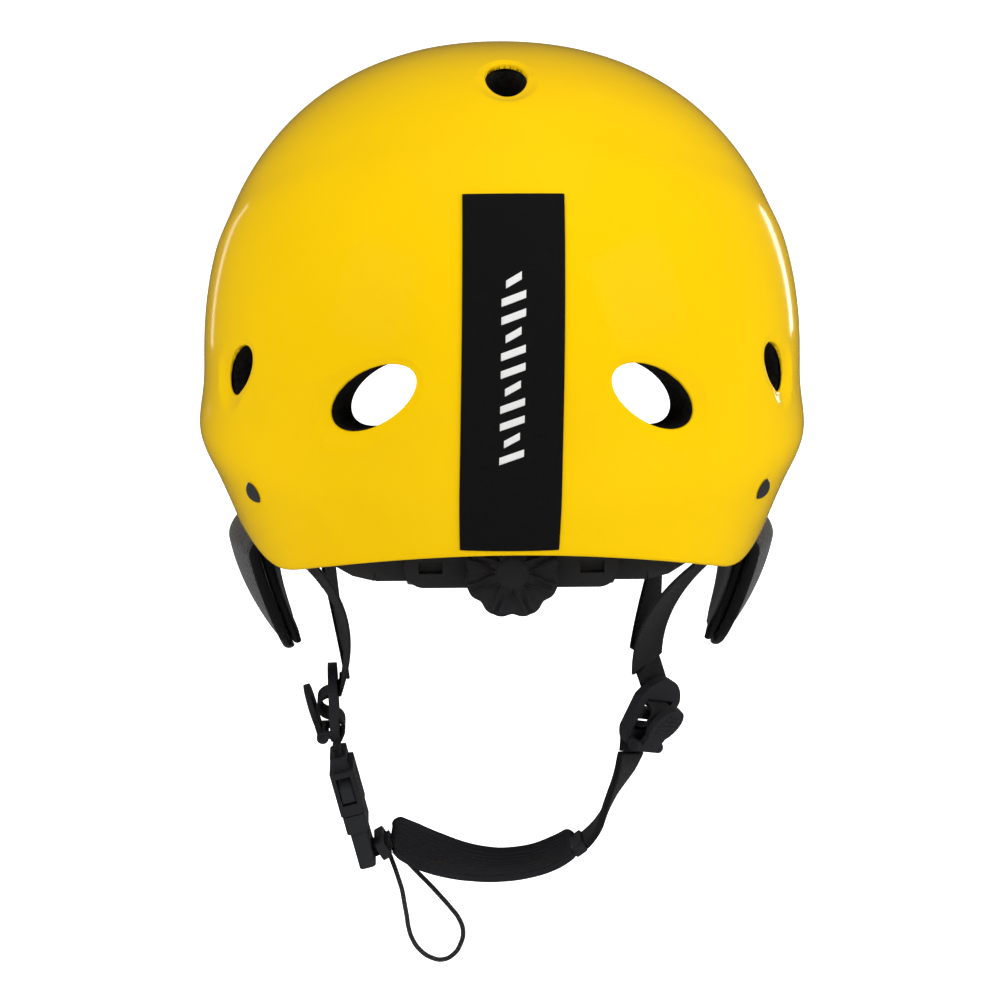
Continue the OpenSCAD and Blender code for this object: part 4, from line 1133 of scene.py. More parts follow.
@dataclass(frozen=True)
class Placement:
    """A leaning, turned place: origin in millimetres, lean about Y and turn about its length."""

    origin: tuple[float, float, float]
    lean: float = 0.0
    turn: float = 0.0

    def matrix(self) -> np.ndarray:
        """Returns the turn of this place as a 3x3 array."""
        turn = Matrix.Rotation(math.radians(self.lean), 3, "Y")
        return np.array(turn @ Matrix.Rotation(math.radians(self.turn), 3, "Z"))

    def out(self, points: Sequence[Point]) -> np.ndarray:
        """Returns local points in the dome's frame."""
        return np.asarray(points, float) @ self.matrix().T + np.array(self.origin)

    def way(self, direction: Point) -> np.ndarray:
        """Returns a local direction in the dome's frame."""
        return self.matrix() @ np.asarray(direction, float)


LEFT_ADJUSTER = Placement((-61.0, 0.0, -129.0), -2.2, 180.0)
RIGHT_ADJUSTER = Placement((54.6, 0.0, -134.4), 24.8, -42.0)
BUCKLE_LEAN = -14.6
BUCKLE_DOWN = np.array([math.sin(math.radians(14.6)), 0.0, -math.cos(math.radians(14.6))])


def level_side(turn: float) -> np.ndarray:
    """Returns a level direction turned from the front towards the right, in degrees."""
    return np.array([math.sin(math.radians(turn)), math.cos(math.radians(turn)), 0.0])


def softened(node: str, name: str, width: float, segments: int = 3,
             angle: float = 28.0) -> bpy.types.Object:
    """Copies a node of the frame and rounds its edges.

    Args:
        node: The frame's node.
        name: The new piece's name.
        width: Width of the rounded edges in millimetres.
        segments: Number of faces across an edge.
        angle: Smallest angle between faces that counts as an edge.

    Returns:
        The rounded copy.
    """
    obj = bpy.data.objects.new(name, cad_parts[node].data.copy())
    bpy.context.scene.collection.objects.link(obj)
    work = bmesh.new()
    work.from_mesh(obj.data)
    bmesh.ops.remove_doubles(work, verts=work.verts, dist=0.000002)
    bmesh.ops.dissolve_limit(work, angle_limit=math.radians(1.0), verts=work.verts,
                             edges=work.edges)
    for face in work.faces:
        face.smooth = True
    work.to_mesh(obj.data)
    work.free()
    bevel = obj.modifiers.new("edges", "BEVEL")
    bevel.width = width * MM
    bevel.segments = segments
    bevel.limit_method = "ANGLE"
    bevel.angle_limit = math.radians(angle)
    bevel.harden_normals = True
    obj.modifiers.new("even_shading", "WEIGHTED_NORMAL").keep_sharp = True
    obj.modifiers.new("facets", "TRIANGULATE").keep_custom_normals = True
    apply_modifiers(obj)
    return obj


@dataclass
class Tape:
    """Woven tape swept along a line.

    Attributes:
        width: Width of the tape in millimetres.
        thickness: Thickness of one layer.
        layers: Number of layers lying on each other.
    """

    width: float = 15.0
    thickness: float = 1.4
    layers: int = 1

    def section(self) -> tuple[np.ndarray, np.ndarray]:
        """Returns the closed outline across and through the tape, and its share across."""
        u = np.sin(np.linspace(-1, 1, 17) * math.pi / 2)
        bead = 1 + 0.16 * np.exp(-(((np.abs(u) - 0.9) / 0.06) ** 2))
        height = self.thickness / 2 * bead * (1 - np.abs(u) ** 14) ** 0.5
        top = np.stack([u * self.width / 2, height], 1)
        bottom = np.stack([u[-2:0:-1] * self.width / 2, -height[-2:0:-1]], 1)
        share = np.concatenate([(u + 1) / 2, (u[-2:0:-1] + 1) / 2])
        return np.vstack([top, bottom]), share

    def sweep(self, name: str, route: np.ndarray, sides: np.ndarray,
              taper: np.ndarray | None = None) -> bpy.types.Object:
        """Sweeps the tape along a route.

        Args:
            name: The piece's name.
            route: Points along its middle.
            sides: Direction of the width at each point.
            taper: Share of the full width at each point, or None.

        Returns:
            The tape as one object.
        """
        route, sides = np.asarray(route, float), np.asarray(sides, float)
        tangent = unit(np.gradient(route, axis=0))
        w = unit(sides - tangent * np.sum(sides * tangent, 1, keepdims=True))
        n = np.cross(tangent, w)
        outline, share = self.section()
        along = np.concatenate([[0], np.cumsum(np.linalg.norm(np.diff(route, axis=0), axis=1))])
        parts, uvs = [], []
        k = len(outline)
        scale = np.ones(len(route)) if taper is None else taper
        for layer in range(self.layers):
            shift = (layer - (self.layers - 1) / 2) * self.thickness * 1.02
            rings = (route[:, None] + w[:, None] * (outline[None, :, :1] * scale[:, None, None])
                     + n[:, None] * (outline[None, :, 1:] + shift))
            parts.append((rings.reshape(-1, 3), tube_faces(len(route), k)))
            uvs.append(np.stack([np.tile(share, len(route)), np.repeat(along / 10, k)], 1))
        points, all_faces = join_parts(parts)
        return new_object(name, points, all_faces, uv=np.vstack(uvs))


# ------------------------------------------------------------------ sub-assemblies


@dataclass
class Shell:
    """The moulded shell with its strip, marks and rivets."""

    wall: float = 2.6
    lip_depth: float = 1.7
    strip_half_width: float = 16.3
    strip_lean: float = 0.018
    strip_top: float = 70.2
    strip_bottom: float = -42.6
    mark_count: int = 11

    def build(self, wardrobe: Wardrobe) -> None:
        """Builds and dresses the shell's pieces."""
        skin = VentedDome(0.0, -self.wall, 288, 92,
                          lip_depth=self.lip_depth, edge_round=0.6)
        wardrobe.place(skin.build("shell_skin"), "shell_gloss", "helmet", ["outer_shell"])
        wardrobe.place(self.strip(), "strip_vinyl", "helmet", ["rear_strip"])
        wardrobe.place(self.marks(), "mark_ink", "helmet", slot="strip_vinyl")

    def strip(self) -> bpy.types.Object:
        """Returns the vinyl strip of even width down the back."""
        across, shares = np.meshgrid(np.linspace(-1, 1, 25), np.linspace(0, 1, 90))
        levels = blend(self.strip_top + 0.3 * (1 - across**2), self.strip_bottom, shares)
        plan = self.rear_angle(across * self.strip_half_width, levels)
        front, back = DOME.at(plan, levels, 0.55), DOME.at(plan, levels, 0.05)
        points, faces, _ = closed_grid(front, back, 0.35)
        return new_object("strip_patch", points, faces)

    def rear_angle(self, x: np.ndarray, z: np.ndarray) -> np.ndarray:
        """Returns the plan angles at distances x from the strip's middle line.

        Args:
            x: Distances towards the wearer's right, in millimetres.
            z: Levels, in the dome's frame.

        Returns:
            Plan angles in degrees.
        """
        share = np.cos(np.arcsin(np.clip(z / DOME.crown, 0, 1) ** (DOME.power / 2)))
        share = share ** (2 / DOME.power)
        reach = DOME.half_width * share * (1 + DOME.taper * share)
        return 270 + np.degrees(np.arcsin((x + self.strip_lean * (z - 50)) / reach))

    def marks(self) -> bpy.types.Object:
        """Returns plain slanted dashes printed down the strip."""
        parts = []
        for k in range(self.mark_count):
            half = 3.9 if k % 3 else 2.5
            across, down = np.meshgrid(np.linspace(-1, 1, 9), np.linspace(-1, 1, 5))
            z = 45.0 - k * 5.6 + down * 1.2 + across * 1.4
            plan = self.rear_angle(across * half, z)
            rows = [DOME.at(plan, z, off) for off in (0.60, 0.5)]
            points, faces, _ = closed_grid(rows[0], rows[1], 0.2, 2)
            parts.append((points, faces))
        points, faces = join_parts(parts)
        return new_object("strip_dashes", points, faces)


@dataclass
class Liner:
    """The impact foam with its comfort pads and their tape."""

    gap: float = 0.5
    wall: float = 13.0
    pad_wall: float = 7.0
    pad_gap: float = 0.8
    crown_radius: float = 26.0

    def edge(self, a: np.ndarray) -> np.ndarray:
        """Returns the share of the shell's height that the foam reaches."""
        side = np.abs(np.cos(np.radians(a)))
        return blend(0.93, 0.79, smooth_step((side - 0.5) / 0.28))

    def build(self, wardrobe: Wardrobe, works: NodeWorks) -> None:
        """Builds and dresses the foam and the pads."""
        outer = -2.6 - self.gap
        foam = VentedDome(outer, outer - self.wall, 200, 64, spread=0.5, margin=7.0,
                          edge_round=1.2, edge=self.edge)
        wardrobe.place(foam.build("foam_liner"), "foam", "helmet", ["impact_liner"])
        start = outer - self.wall - self.pad_gap
        seams = []
        for name, node, a, half, low, high in (
                ("brow_cushion", "front_pad", 90, 34, -12, 9),
                ("back_cushion", "rear_pad", 270, 9, -24, 36),
                ("left_cushion", "left_side_pad", 180, 17, -8, 32),
                ("right_cushion", "right_side_pad", 0, 17, -8, 32)):
            points, faces, _ = patch_slab((a - half, a + half), (high, low),
                                          (start, start - self.pad_wall + 1.2), (61, 33), 2.4)
            cushion = new_object(name, points, faces)
            wardrobe.place(cushion, "pad_fabric", "helmet", [node])
            seams.append(self.seam(a, half, low, high, start))
        crown = self.crown_cushion(start)
        wardrobe.place(crown, "pad_fabric", "helmet", ["crown_pad"])
        thread = works.stitches("pad_stitches", seams, wardrobe.materials["hook_tape"])
        wardrobe.place(thread, "hook_tape", "helmet", slot="pad_fabric")
        wardrobe.dress(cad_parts["pad_fasteners"], "hook_tape")

    def seam(self, a: float, half: float, low: float, high: float, start: float) -> np.ndarray:
        """Returns the line of stitches round one cushion's inner face."""
        turns = np.linspace(0, 2 * math.pi, 161)
        c, s = np.cos(turns), np.sin(turns)
        u = np.sign(c) * np.abs(c) ** 0.28 * 0.86
        w = np.sign(s) * np.abs(s) ** 0.28 * 0.8
        swell = (1 - u**4) * (1 - w**4)
        level = (high + low) / 2 + w * (high - low) / 2
        depth = start - self.pad_wall + 1.2 - 2.4 * swell
        return DOME.at(a + u * half, level, depth + 0.05)

    def crown_cushion(self, start: float) -> bpy.types.Object:
        """Returns the round pad under the crown."""
        rings, turns = 26, 72
        reach = DOME.equator * (1 - math.degrees(math.acos(
            (self.crown_radius / DOME.half_width) ** (DOME.power / 2))) / 90)
        shares = np.linspace(0.0, 1.0, rings)
        angle = np.arange(turns) * 360.0 / turns
        layers = []
        for side in (0, 1):
            rows = []
            for share in shares[1:]:
                swell = 1 - share**5
                off = start if side == 0 else start - self.pad_wall + 1.0 - 1.0 * swell
                if share > 0.9:
                    off = blend(off, start - self.pad_wall / 2, 0.5 * ((share - 0.9) / 0.1) ** 2)
                rows.append(DOME.point(angle, np.full(turns, share * reach), off))
            pole = DOME.point(0.0, 0.0, start if side == 0 else start - self.pad_wall)[None]
            layers.append(np.vstack([pole, *rows]))
        count = len(layers[0])
        grid = 1 + np.arange((rings - 1) * turns).reshape(rings - 1, turns)
        right = np.roll(grid, -1, 1)
        quads = np.stack([grid[:-1], grid[1:], right[1:], right[:-1]], -1).reshape(-1, 4).tolist()
        fan = [[0, int(grid[0, j]), int(right[0, j])] for j in range(turns)]
        skin = quads + fan
        edge = [[int(p), int(q), int(q) + count, int(p) + count]
                for p, q in zip(grid[-1], right[-1])]
        faces = skin + [[i + count for i in reversed(face)] for face in skin] + edge
        return new_object("crown_cushion", np.vstack(layers), faces)


@dataclass
class Straps:
    """The four upper straps with their loops, and the wraps round the adjusters' bars."""

    width: float = 15.0
    thickness: float = 1.4
    anchor_off: float = -6.4

    def start(self, side: float, rivet: tuple[float, float], drop: float,
              off: float) -> np.ndarray:
        """Returns a place below a rivet inside the shell."""
        p = DOME.at(rivet[0], rivet[1] - drop, off)
        return np.array([side * p[0], p[1], p[2]])

    def build(self, wardrobe: Wardrobe, works: NodeWorks) -> None:
        """Builds the straps, their wraps and the stitches at their ends."""
        left_end, right_end = np.array([-58.0, 0, -120.5]), np.array([53.2, 0, -114.9])
        gap, turn = self.thickness + 0.15, -RIGHT_ADJUSTER.turn
        beside = gap * np.array([-math.cos(math.radians(turn)), math.sin(math.radians(turn)), 0])
        rows = (
            ("left_rear_tape", "left_rear_strap", -1, REAR_RIVET, left_end, (7, -30, 36),
             (0, -1.5, 0), 0.0),
            ("left_front_tape", "left_front_strap", -1, FRONT_RIVET, left_end, (-5, 24, 38),
             (gap, 0, 2.5), 0.0),
            ("right_rear_tape", "right_rear_strap", 1, REAR_RIVET, right_end, (-2, -30, 32),
             (0, -1.5, 0), turn),
            ("right_front_tape", "right_front_strap", 1, FRONT_RIVET, right_end, (5, 24, 34),
             tuple(beside + (0, 0, 2.5)), turn),
        )
        tape = Tape(self.width, self.thickness)
        seams = []
        for name, node, side, rivet, end, bend, finish, last_turn in rows:
            first = self.start(side, rivet, 21.5, self.anchor_off)
            t = np.linspace(0, 1, 64)[:, None]
            route = (1 - t) ** 2 * first + 2 * t * (1 - t) * (end + bend) + t * t * (end + finish)
            first_turn = side * (32 if rivet[0] > 180 else -32)
            sides = np.array([level_side(blend(last_turn, first_turn, (1 - s) ** 1.3))
                              for s in t[:, 0]])
            loop = np.array([self.start(side, rivet, drop, off) for drop, off in
                             ((12.6, -5.2), (13.6, -4.5), (15.5, -4.4), (17.5, -4.9),
                              (19.5, -5.8))])
            route = np.vstack([loop, route])
            sides = np.vstack([np.repeat(sides[:1], len(loop), 0), sides])
            narrow = np.ones(len(route))
            narrow[:6] = (0.58, 0.6, 0.68, 0.8, 0.92, 0.98)
            wardrobe.place(tape.sweep(name, route, sides, narrow), "webbing", "helmet", [node])
            seams += self.box_stitch(route[14:30], sides[14:30])
        wardrobe.place(works.stitches("strap_stitches", seams, wardrobe.materials["webbing"],
                                      1.9, 0.7, 0.2), "cord", "helmet", slot="webbing")
        self.wrap("left_bar_wrap", LEFT_ADJUSTER, None, wardrobe)
        self.wrap("right_bar_wrap", RIGHT_ADJUSTER, right_end + (0, -1.0, 0.4), wardrobe)

    def box_stitch(self, route: np.ndarray, sides: np.ndarray) -> list[np.ndarray]:
        """Returns two rows of stitches along a strap and two across it, on its face."""
        tangent = unit(np.gradient(route, axis=0))
        w = unit(sides - tangent * np.sum(sides * tangent, 1, keepdims=True))
        n = np.cross(tangent, w)
        lines = []
        for face in (-1, 1):
            lift = n * face * (self.thickness / 2 + 0.05)
            lines += [route + w * across + lift for across in (-4.8, 4.8)]
            for end in (0, -1):
                shares = np.linspace(-4.8, 4.8, 9)[:, None]
                lines.append(route[end] + w[end] * shares + lift[end])
        return lines

    def wrap(self, name: str, place: Placement, first: np.ndarray | None,
             wardrobe: Wardrobe) -> None:
        """Threads tape through an adjuster and over its bar.

        Args:
            name: The piece's name.
            place: The adjuster's place.
            first: Where the tape comes from, or None for straight above.
            wardrobe: The finishes.
        """
        local = [(-3.1, 0, 9.2), (-2.6, 0, 6.4), (-0.4, 0, 4.4), (2.6, 0, 3.9), (4.8, 0, 2.4),
                 (5.3, 0, 0), (4.4, 0, -2.6), (1.8, 0, -4.1), (-1.0, 0, -4.5), (-2.9, 0, -6.6),
                 (-2.9, 0, -10.0), (-1.2, 0, -13.6), (0, 0, -16.2)]
        points = place.out(local)
        side = place.way((0, 1, 0))
        sides = np.repeat(side[None], 90, 0)
        if first is not None:
            points = np.vstack([first, (first + points[0]) / 2 + (0, 0, 0.6), points])
        route = resample(points, 90)
        piece = Tape(self.width, 1.5).sweep(name, route, sides)
        wardrobe.place(piece, "webbing", "helmet")


@dataclass
class Adjusters:
    """The two webbing adjusters with their levers."""

    def build(self, wardrobe: Wardrobe) -> None:
        """Builds the frames and levers."""
        for side, place in (("left", LEFT_ADJUSTER), ("right", RIGHT_ADJUSTER)):
            body = softened(f"{side}_adjuster_frame", f"{side}_frame_body", 0.55)
            wardrobe.place(body, "buckle_plastic", "helmet", [f"{side}_adjuster_frame"])
            lever = softened(f"{side}_adjuster_lever", f"{side}_lever_body", 0.6)
            wardrobe.place(lever, "buckle_plastic", f"{side}_lever", [f"{side}_adjuster_lever"])
            wardrobe.place(self.grip(f"{side}_lever_grip", place), "buckle_plastic",
                           f"{side}_lever")

    def grip(self, name: str, place: Placement) -> bpy.types.Object:
        """Returns low curved ridges on a lever's outer face."""
        lean = math.radians(14.0)
        parts = []
        for k in range(5):
            along = 8.5 + k * 1.9
            half = 5.4 - 0.28 * (k - 1.0) ** 2
            y = np.linspace(-half, half, 15)
            rows = []
            for turn in np.linspace(-math.pi / 2, math.pi / 2, 5):
                up = along + 0.55 * math.sin(turn) + 0.012 * y**2
                out = 1.7 + 0.5 * math.cos(turn) * (1 - (y / half) ** 6)
                rows.append(np.stack([
                    4.6 + out * math.cos(lean) + up * math.sin(lean), y,
                    -11.3 - out * math.sin(lean) + up * math.cos(lean)], 1))
            grid = np.array([place.out(row) for row in rows])
            base = grid - place.way((math.cos(lean), 0, -math.sin(lean))) * 0.3
            points, faces, _ = closed_grid(grid, base, 0.1, 2)
            parts.append((points, faces))
        points, faces = join_parts(parts)
        return new_object(name, points, faces)


@dataclass
class Buckle:
    """The side-release buckle, its webbing and the keeper."""

    socket_length: float = 21.5
    thickness: float = 9.0
    width: float = 25.0

    def build(self, wardrobe: Wardrobe) -> None:
        """Builds the buckle's pieces and the short webbing at each end."""
        hang = LEFT_ADJUSTER.out([(0, 0, -16.4)])[0]
        place = Placement(tuple(hang + BUCKLE_DOWN * (2.4 + self.socket_length)), BUCKLE_LEAN)
        for node, name, finish, body, edge in (
                ("buckle_socket", "socket_body", "buckle_plastic", "chin_strap", 1.2),
                ("buckle_plug", "plug_body", "plug_plastic", "chin_release", 0.5),
                ("buckle_prongs", "prong_pair", "plug_plastic", "chin_release", 0.55),
                ("strap_keeper", "keeper_ring", "buckle_plastic", "chin_release", 0.5)):
            wardrobe.place(softened(node, name, edge), finish, body, [node])
        wardrobe.place(self.ribs(place, (8.0, 10.2, 12.4), "socket_ribs", self.thickness / 2),
                       "buckle_plastic", "chin_strap")
        bar = hang + BUCKLE_DOWN * (2.4 + self.socket_length + 0.35 + 17.0)
        start, end = bar + (3.6, 0, 0.6), np.array([-40.7, 0, -181.4])
        tail = [hang, hang + BUCKLE_DOWN * 2.3, hang + BUCKLE_DOWN * 4.2]
        sides = np.repeat(level_side(0)[None], 24, 0)
        piece = Tape(15.0, 1.4, 2).sweep("tail_tape", resample(tail, 24), sides)
        wardrobe.place(piece, "webbing", "chin_strap", ["left_tail_strap"])
        link = [bar + (-1.0, 0, 1.9), bar + (1.4, 0, 1.6), start, (start + end) / 2, end]
        piece = Tape(15.0, 1.35, 2).sweep("link_tape", resample(link, 40),
                                          np.repeat(level_side(0)[None], 40, 0))
        wardrobe.place(piece, "webbing", "chin_release", ["buckle_webbing"])
        wardrobe.place(self.bar_loop(place), "webbing", "chin_release")

    def bar_loop(self, place: Placement) -> bpy.types.Object:
        """Returns the tape folded round the plug's lower web bar."""
        bar = np.array([0.0, 0.0, -17.3])
        turns = np.linspace(math.radians(250), math.radians(-70), 40)
        local = [bar + (2.6 * math.cos(t), 0, 2.6 * math.sin(t)) for t in turns]
        sides = np.repeat(place.way((0, 1, 0))[None], 40, 0)
        return Tape(15.0, 1.3).sweep("plug_loop", place.out(local), sides)

    def ribs(self, place: Placement, levels: Sequence[float], name: str,
             face: float) -> bpy.types.Object:
        """Returns finger ribs across both faces of the socket."""
        parts = []
        for side in (-1, 1):
            for level in levels:
                y = np.linspace(-8.5, 8.5, 17)
                rows = []
                for turn in np.linspace(-math.pi / 2, math.pi / 2, 5):
                    out = face + 0.4 * math.cos(turn) * (1 - (y / 8.5) ** 8) - 0.02
                    rows.append(np.stack([side * out, y, np.full(17, level)
                                          + 0.6 * math.sin(turn)], 1))
                grid = np.array([place.out(row) for row in rows])
                base = grid - place.way((side * 1.0, 0, 0)) * 0.3
                points, faces, _ = closed_grid(grid, base, 0.1, 2)
                parts.append((points, faces))
        points, faces = join_parts(parts)
        return new_object(name, points, faces)


@dataclass
class ChinCup:
    """The rubber chin cup and the strap that holds its right end."""

    width: float = 25.0
    wall: float = 2.8
    dish: float = 3.2
    ridges: int = 14
    centre: tuple[tuple[float, float, float], ...] = (
        (-39.5, 0, -182), (-32, 0, -186.4), (-23, 0, -190.4), (-12, 0, -193.6), (0, 0, -194.8),
        (12, 0, -193.2), (21, 0, -189.6), (27, 0, -185.6))
    tilts: tuple[float, ...] = (30, 25, 17, 9, 5, 5, 9, 13)
    widths: tuple[float, ...] = (0.72, 0.86, 0.95, 1, 1, 0.96, 0.86, 0.72)

    def build(self, wardrobe: Wardrobe) -> None:
        """Builds the cup and the right chin strap."""
        rows, cols = 96, 61
        line = resample(self.centre, rows)
        share = np.linspace(0, 1, rows)
        knots = np.linspace(0, 1, len(self.tilts))
        tilt = np.radians(np.interp(share, knots, self.tilts))
        size = np.interp(share, knots, self.widths)
        end = np.minimum(share, 1 - share) / 0.035
        size = size * (1 - 0.16 * (1 - np.clip(end, 0, 1)) ** 2)
        tangent = unit(np.gradient(line, axis=0))
        w = np.stack([np.zeros(rows), np.cos(tilt), np.sin(tilt)], 1)
        n = unit(np.cross(tangent, w))
        s = np.linspace(-1, 1, cols)[None, :, None]
        half = (self.width * size / 2)[:, None, None]
        base = (line[:, None] + w[:, None] * half * s
                + n[:, None] * (self.dish * size[:, None, None] * s**2))
        rim = 0.5 * np.exp(-(((np.abs(s) - 0.93) / 0.05) ** 2))
        groove = 0.13 * np.cos(s * math.pi * self.ridges) * (np.abs(s) < 0.82)
        fade = np.clip(end, 0, 1)[:, None, None]
        upper = base + n[:, None] * (self.wall / 2 + rim * 0.6 - 0.1 + groove * fade)
        lower = base - n[:, None] * (self.wall / 2 + rim * 0.8 - 0.1)
        points, faces, _ = closed_grid(upper, lower, 0.45, 4)
        wardrobe.place(new_object("cup_body", points, faces), "chin_rubber", "chin_release",
                       ["chin_cup"])
        hang = RIGHT_ADJUSTER.out([(0, 0, -16.4)])[0]
        finish = np.array(self.centre[-1]) + (1.6, 0, 1.5)
        knots = [hang, hang + (-2.4, 0, -7), (40.6, 0, -166), (36.4, 0, -176), (31.8, 0, -182),
                 finish]
        count = 110
        turns = np.interp(np.linspace(0, 5, count), range(6), (40, 31, 16, 6, 0, 0))
        sides = np.array([level_side(turn) for turn in turns])
        piece = Tape(15.0, 1.4, 2).sweep("right_chin_tape", resample(knots, count), sides)
        wardrobe.dress(piece, "webbing")
        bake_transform(piece)
        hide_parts("right_chin_strap")
        LOG.info("%s bends from the strap to the cup", piece.name)
        wardrobe.place(self.clamp(finish), "buckle_plastic", "chin_release")

    def clamp(self, finish: np.ndarray) -> bpy.types.Object:
        """Returns the moulded collar that joins the strap to the cup's right end."""
        direction = unit(np.array([27, 0, -185.6]) - np.array([31.8, 0, -182]))
        up = np.cross(direction, (0, 1, 0))
        turns = np.linspace(0, 2 * math.pi, 48, endpoint=False)
        c, s = np.cos(turns), np.sin(turns)
        y, z = np.sign(c) * np.abs(c) ** 0.35 * 8.9, np.sign(s) * np.abs(s) ** 0.6 * 2.35
        rows = []
        for along, scale in ((-2.4, 0.9), (-2.1, 0.98), (-1.4, 1.0), (1.4, 1.0), (2.1, 0.98),
                             (2.4, 0.9)):
            rows.append(finish + direction * along
                        + np.outer(y * scale, (0, 1, 0)) + np.outer(z * scale, up))
        return new_object("cup_collar", np.vstack(rows), tube_faces(len(rows), len(turns)))


@dataclass
class PullCord:
    """The loop of thin cord that hangs at the keeper."""

    diameter: float = 1.8
    route: tuple[tuple[float, float, float], ...] = (
        (-41, -2, -187), (-39.4, -3.4, -191), (-37.9, -4, -195.5), (-36.6, -4, -200),
        (-35.8, -3.6, -205), (-35, -3, -210), (-34.3, -2.4, -215), (-32.8, -1.8, -220),
        (-29.8, -1.2, -224.6), (-25.8, -0.6, -227.6), (-21.6, 0, -228.6), (-17.6, 0.6, -226.8),
        (-15, 1.2, -223), (-14, 1.8, -218.4), (-15.4, 2.4, -213.8), (-18.6, 3, -209.4),
        (-22.4, 3.6, -205), (-26.4, 4.2, -200.6), (-30.4, 4.4, -196.4), (-34.2, 4, -192),
        (-37.4, 3, -188))

    def build(self, wardrobe: Wardrobe) -> None:
        """Builds the cord as one smooth curve."""
        points = in_part_frame(np.array(self.route))
        curve = bpy.data.curves.new("pull_loop", "CURVE")
        curve.dimensions = "3D"
        curve.resolution_u = 6
        curve.bevel_depth = self.diameter / 2 * MM
        curve.bevel_resolution = 4
        curve.use_fill_caps = True
        spline = curve.splines.new("BEZIER")
        spline.bezier_points.add(len(points) - 1)
        for knot, place in zip(spline.bezier_points, points):
            knot.co = place
            knot.handle_left_type = knot.handle_right_type = "AUTO"
        obj = bpy.data.objects.new("pull_loop", curve)
        bpy.context.scene.collection.objects.link(obj)
        wardrobe.place(obj, "cord", "chin_release", ["pull_cord"])


@dataclass
class EarGuards:
    """Both ear guards: a knit panel with a piped edge, and a glossy rubber pad inside."""

    length: float = 50.0
    half_width: float = 39.0
    panel_wall: float = 3.0
    pad_wall: float = 5.5
    hinge_x: float = 91.801
    top: float = -52.4

    def point(self, u: np.ndarray, s: np.ndarray, inset: np.ndarray) -> np.ndarray:
        """Returns places on a guard: u from rear to front, s from top to tip."""
        half = self.half_width * (1 - s**2.4 * 0.985) ** 0.62
        y = 1 - 14 * s + u * half
        curl = 11 * ((y + 2) / 42) ** 2 + inset
        lean = 0.4 * self.length * s * s - 8.0 * smooth_step(4 * s)
        return np.stack([self.hinge_x - 0.5 - lean - curl, y,
                         self.top - s * (self.length + 0.6)], -1)

    def slab(self, name: str, side: int, inset: float, wall: float, thicken: float, share: float,
             rows: tuple[float, float], swell: float) -> bpy.types.Object:
        """Makes one layer of a guard.

        Args:
            name: The piece's name.
            side: 1 for the wearer's right, -1 for the left.
            inset: How far its outer face lies inside the hinge line.
            wall: Its thickness at the tip.
            thicken: How much thicker it is at the top, as a share of the wall.
            share: Share of the guard's width.
            rows: First and last share of its height.
            swell: How far it crowns at its middle.

        Returns:
            The piece.
        """
        u, s = np.meshgrid(np.linspace(-1, 1, 49), np.linspace(*rows, 57))
        t = (s - rows[0]) / (rows[1] - rows[0])
        crown = (1 - np.abs(u) ** 5) * (1 - np.abs(2 * t - 1) ** 7)
        front = self.point(u * share, s, inset + swell * (1 - crown))
        depth = wall * (1 + thicken * (1 - s))
        back = self.point(u * share, s, inset + depth * (1 - 0.35 * (1 - crown) * (thicken > 0)))
        front[..., 0] *= side
        back[..., 0] *= side
        points, faces, _ = closed_grid(front, back, 0.4, 4)
        return new_object(name, points, faces)

    def build(self, wardrobe: Wardrobe, works: NodeWorks) -> None:
        """Builds both guards with their tabs, piping and stitches."""
        for label, side in (("left", -1), ("right", 1)):
            body = f"{label}_ear"
            panel = self.slab(f"{label}_ear_panel", side, 0.0, self.panel_wall, 0.0, 0.985,
                              (0.0, 0.985), 0.6)
            wardrobe.place(panel, "ear_fabric", body, [f"{label}_ear_guard"])
            pad = self.slab(f"{label}_ear_lobe", side, self.panel_wall + 0.4, self.pad_wall, 1.1,
                            0.84, (0.145, 0.93), 0.8)
            wardrobe.place(pad, "ear_rubber", body, [f"{label}_ear_pad"])
            wardrobe.place(self.piping(f"{label}_ear_piping", side), "ear_rubber", body)
            t = np.linspace(0.04, 0.9, 90)
            rows = [self.point(np.full(90, u), t, -0.02 + 0.6 * (1 - (1 - abs(u) ** 5)))
                    for u in (-0.9, 0.9)]
            for row in rows:
                row[:, 0] *= side
            wardrobe.place(works.stitches(f"{label}_ear_stitches", rows,
                                          wardrobe.materials["hook_tape"]), "hook_tape", body,
                           slot="ear_fabric")
            tab = softened(f"{label}_ear_tab", f"{label}_hanger", 0.6)
            wardrobe.place(tab, "ear_fabric", "helmet", [f"{label}_ear_tab"])

    def piping(self, name: str, side: int) -> bpy.types.Object:
        """Returns the glossy bound edge round a guard."""
        s = np.concatenate([np.linspace(0.01, 0.9, 50), np.linspace(0.91, 0.985, 16)])
        rear = self.point(np.full(len(s), -0.985), s, self.panel_wall / 2)
        front = self.point(np.full(len(s), 0.985), s, self.panel_wall / 2)[::-1]
        tip = resample([rear[-1], (rear[-1] + front[0]) / 2 - (0, 0, 0.3), front[0]], 9)[1:-1]
        line = np.vstack([rear, tip, front])
        line[:, 0] *= side
        tangent = unit(np.gradient(line, axis=0))
        across = unit(np.cross(tangent, (1.0, 0.0, 0.0)))
        through = np.cross(tangent, across)
        turns = np.linspace(0, 2 * math.pi, 12, endpoint=False)
        rings = (line[:, None] + across[:, None] * (1.35 * np.cos(turns))[None, :, None]
                 + through[:, None] * (2.05 * np.sin(turns))[None, :, None])
        return new_object(name, rings.reshape(-1, 3), tube_faces(len(line), len(turns)))


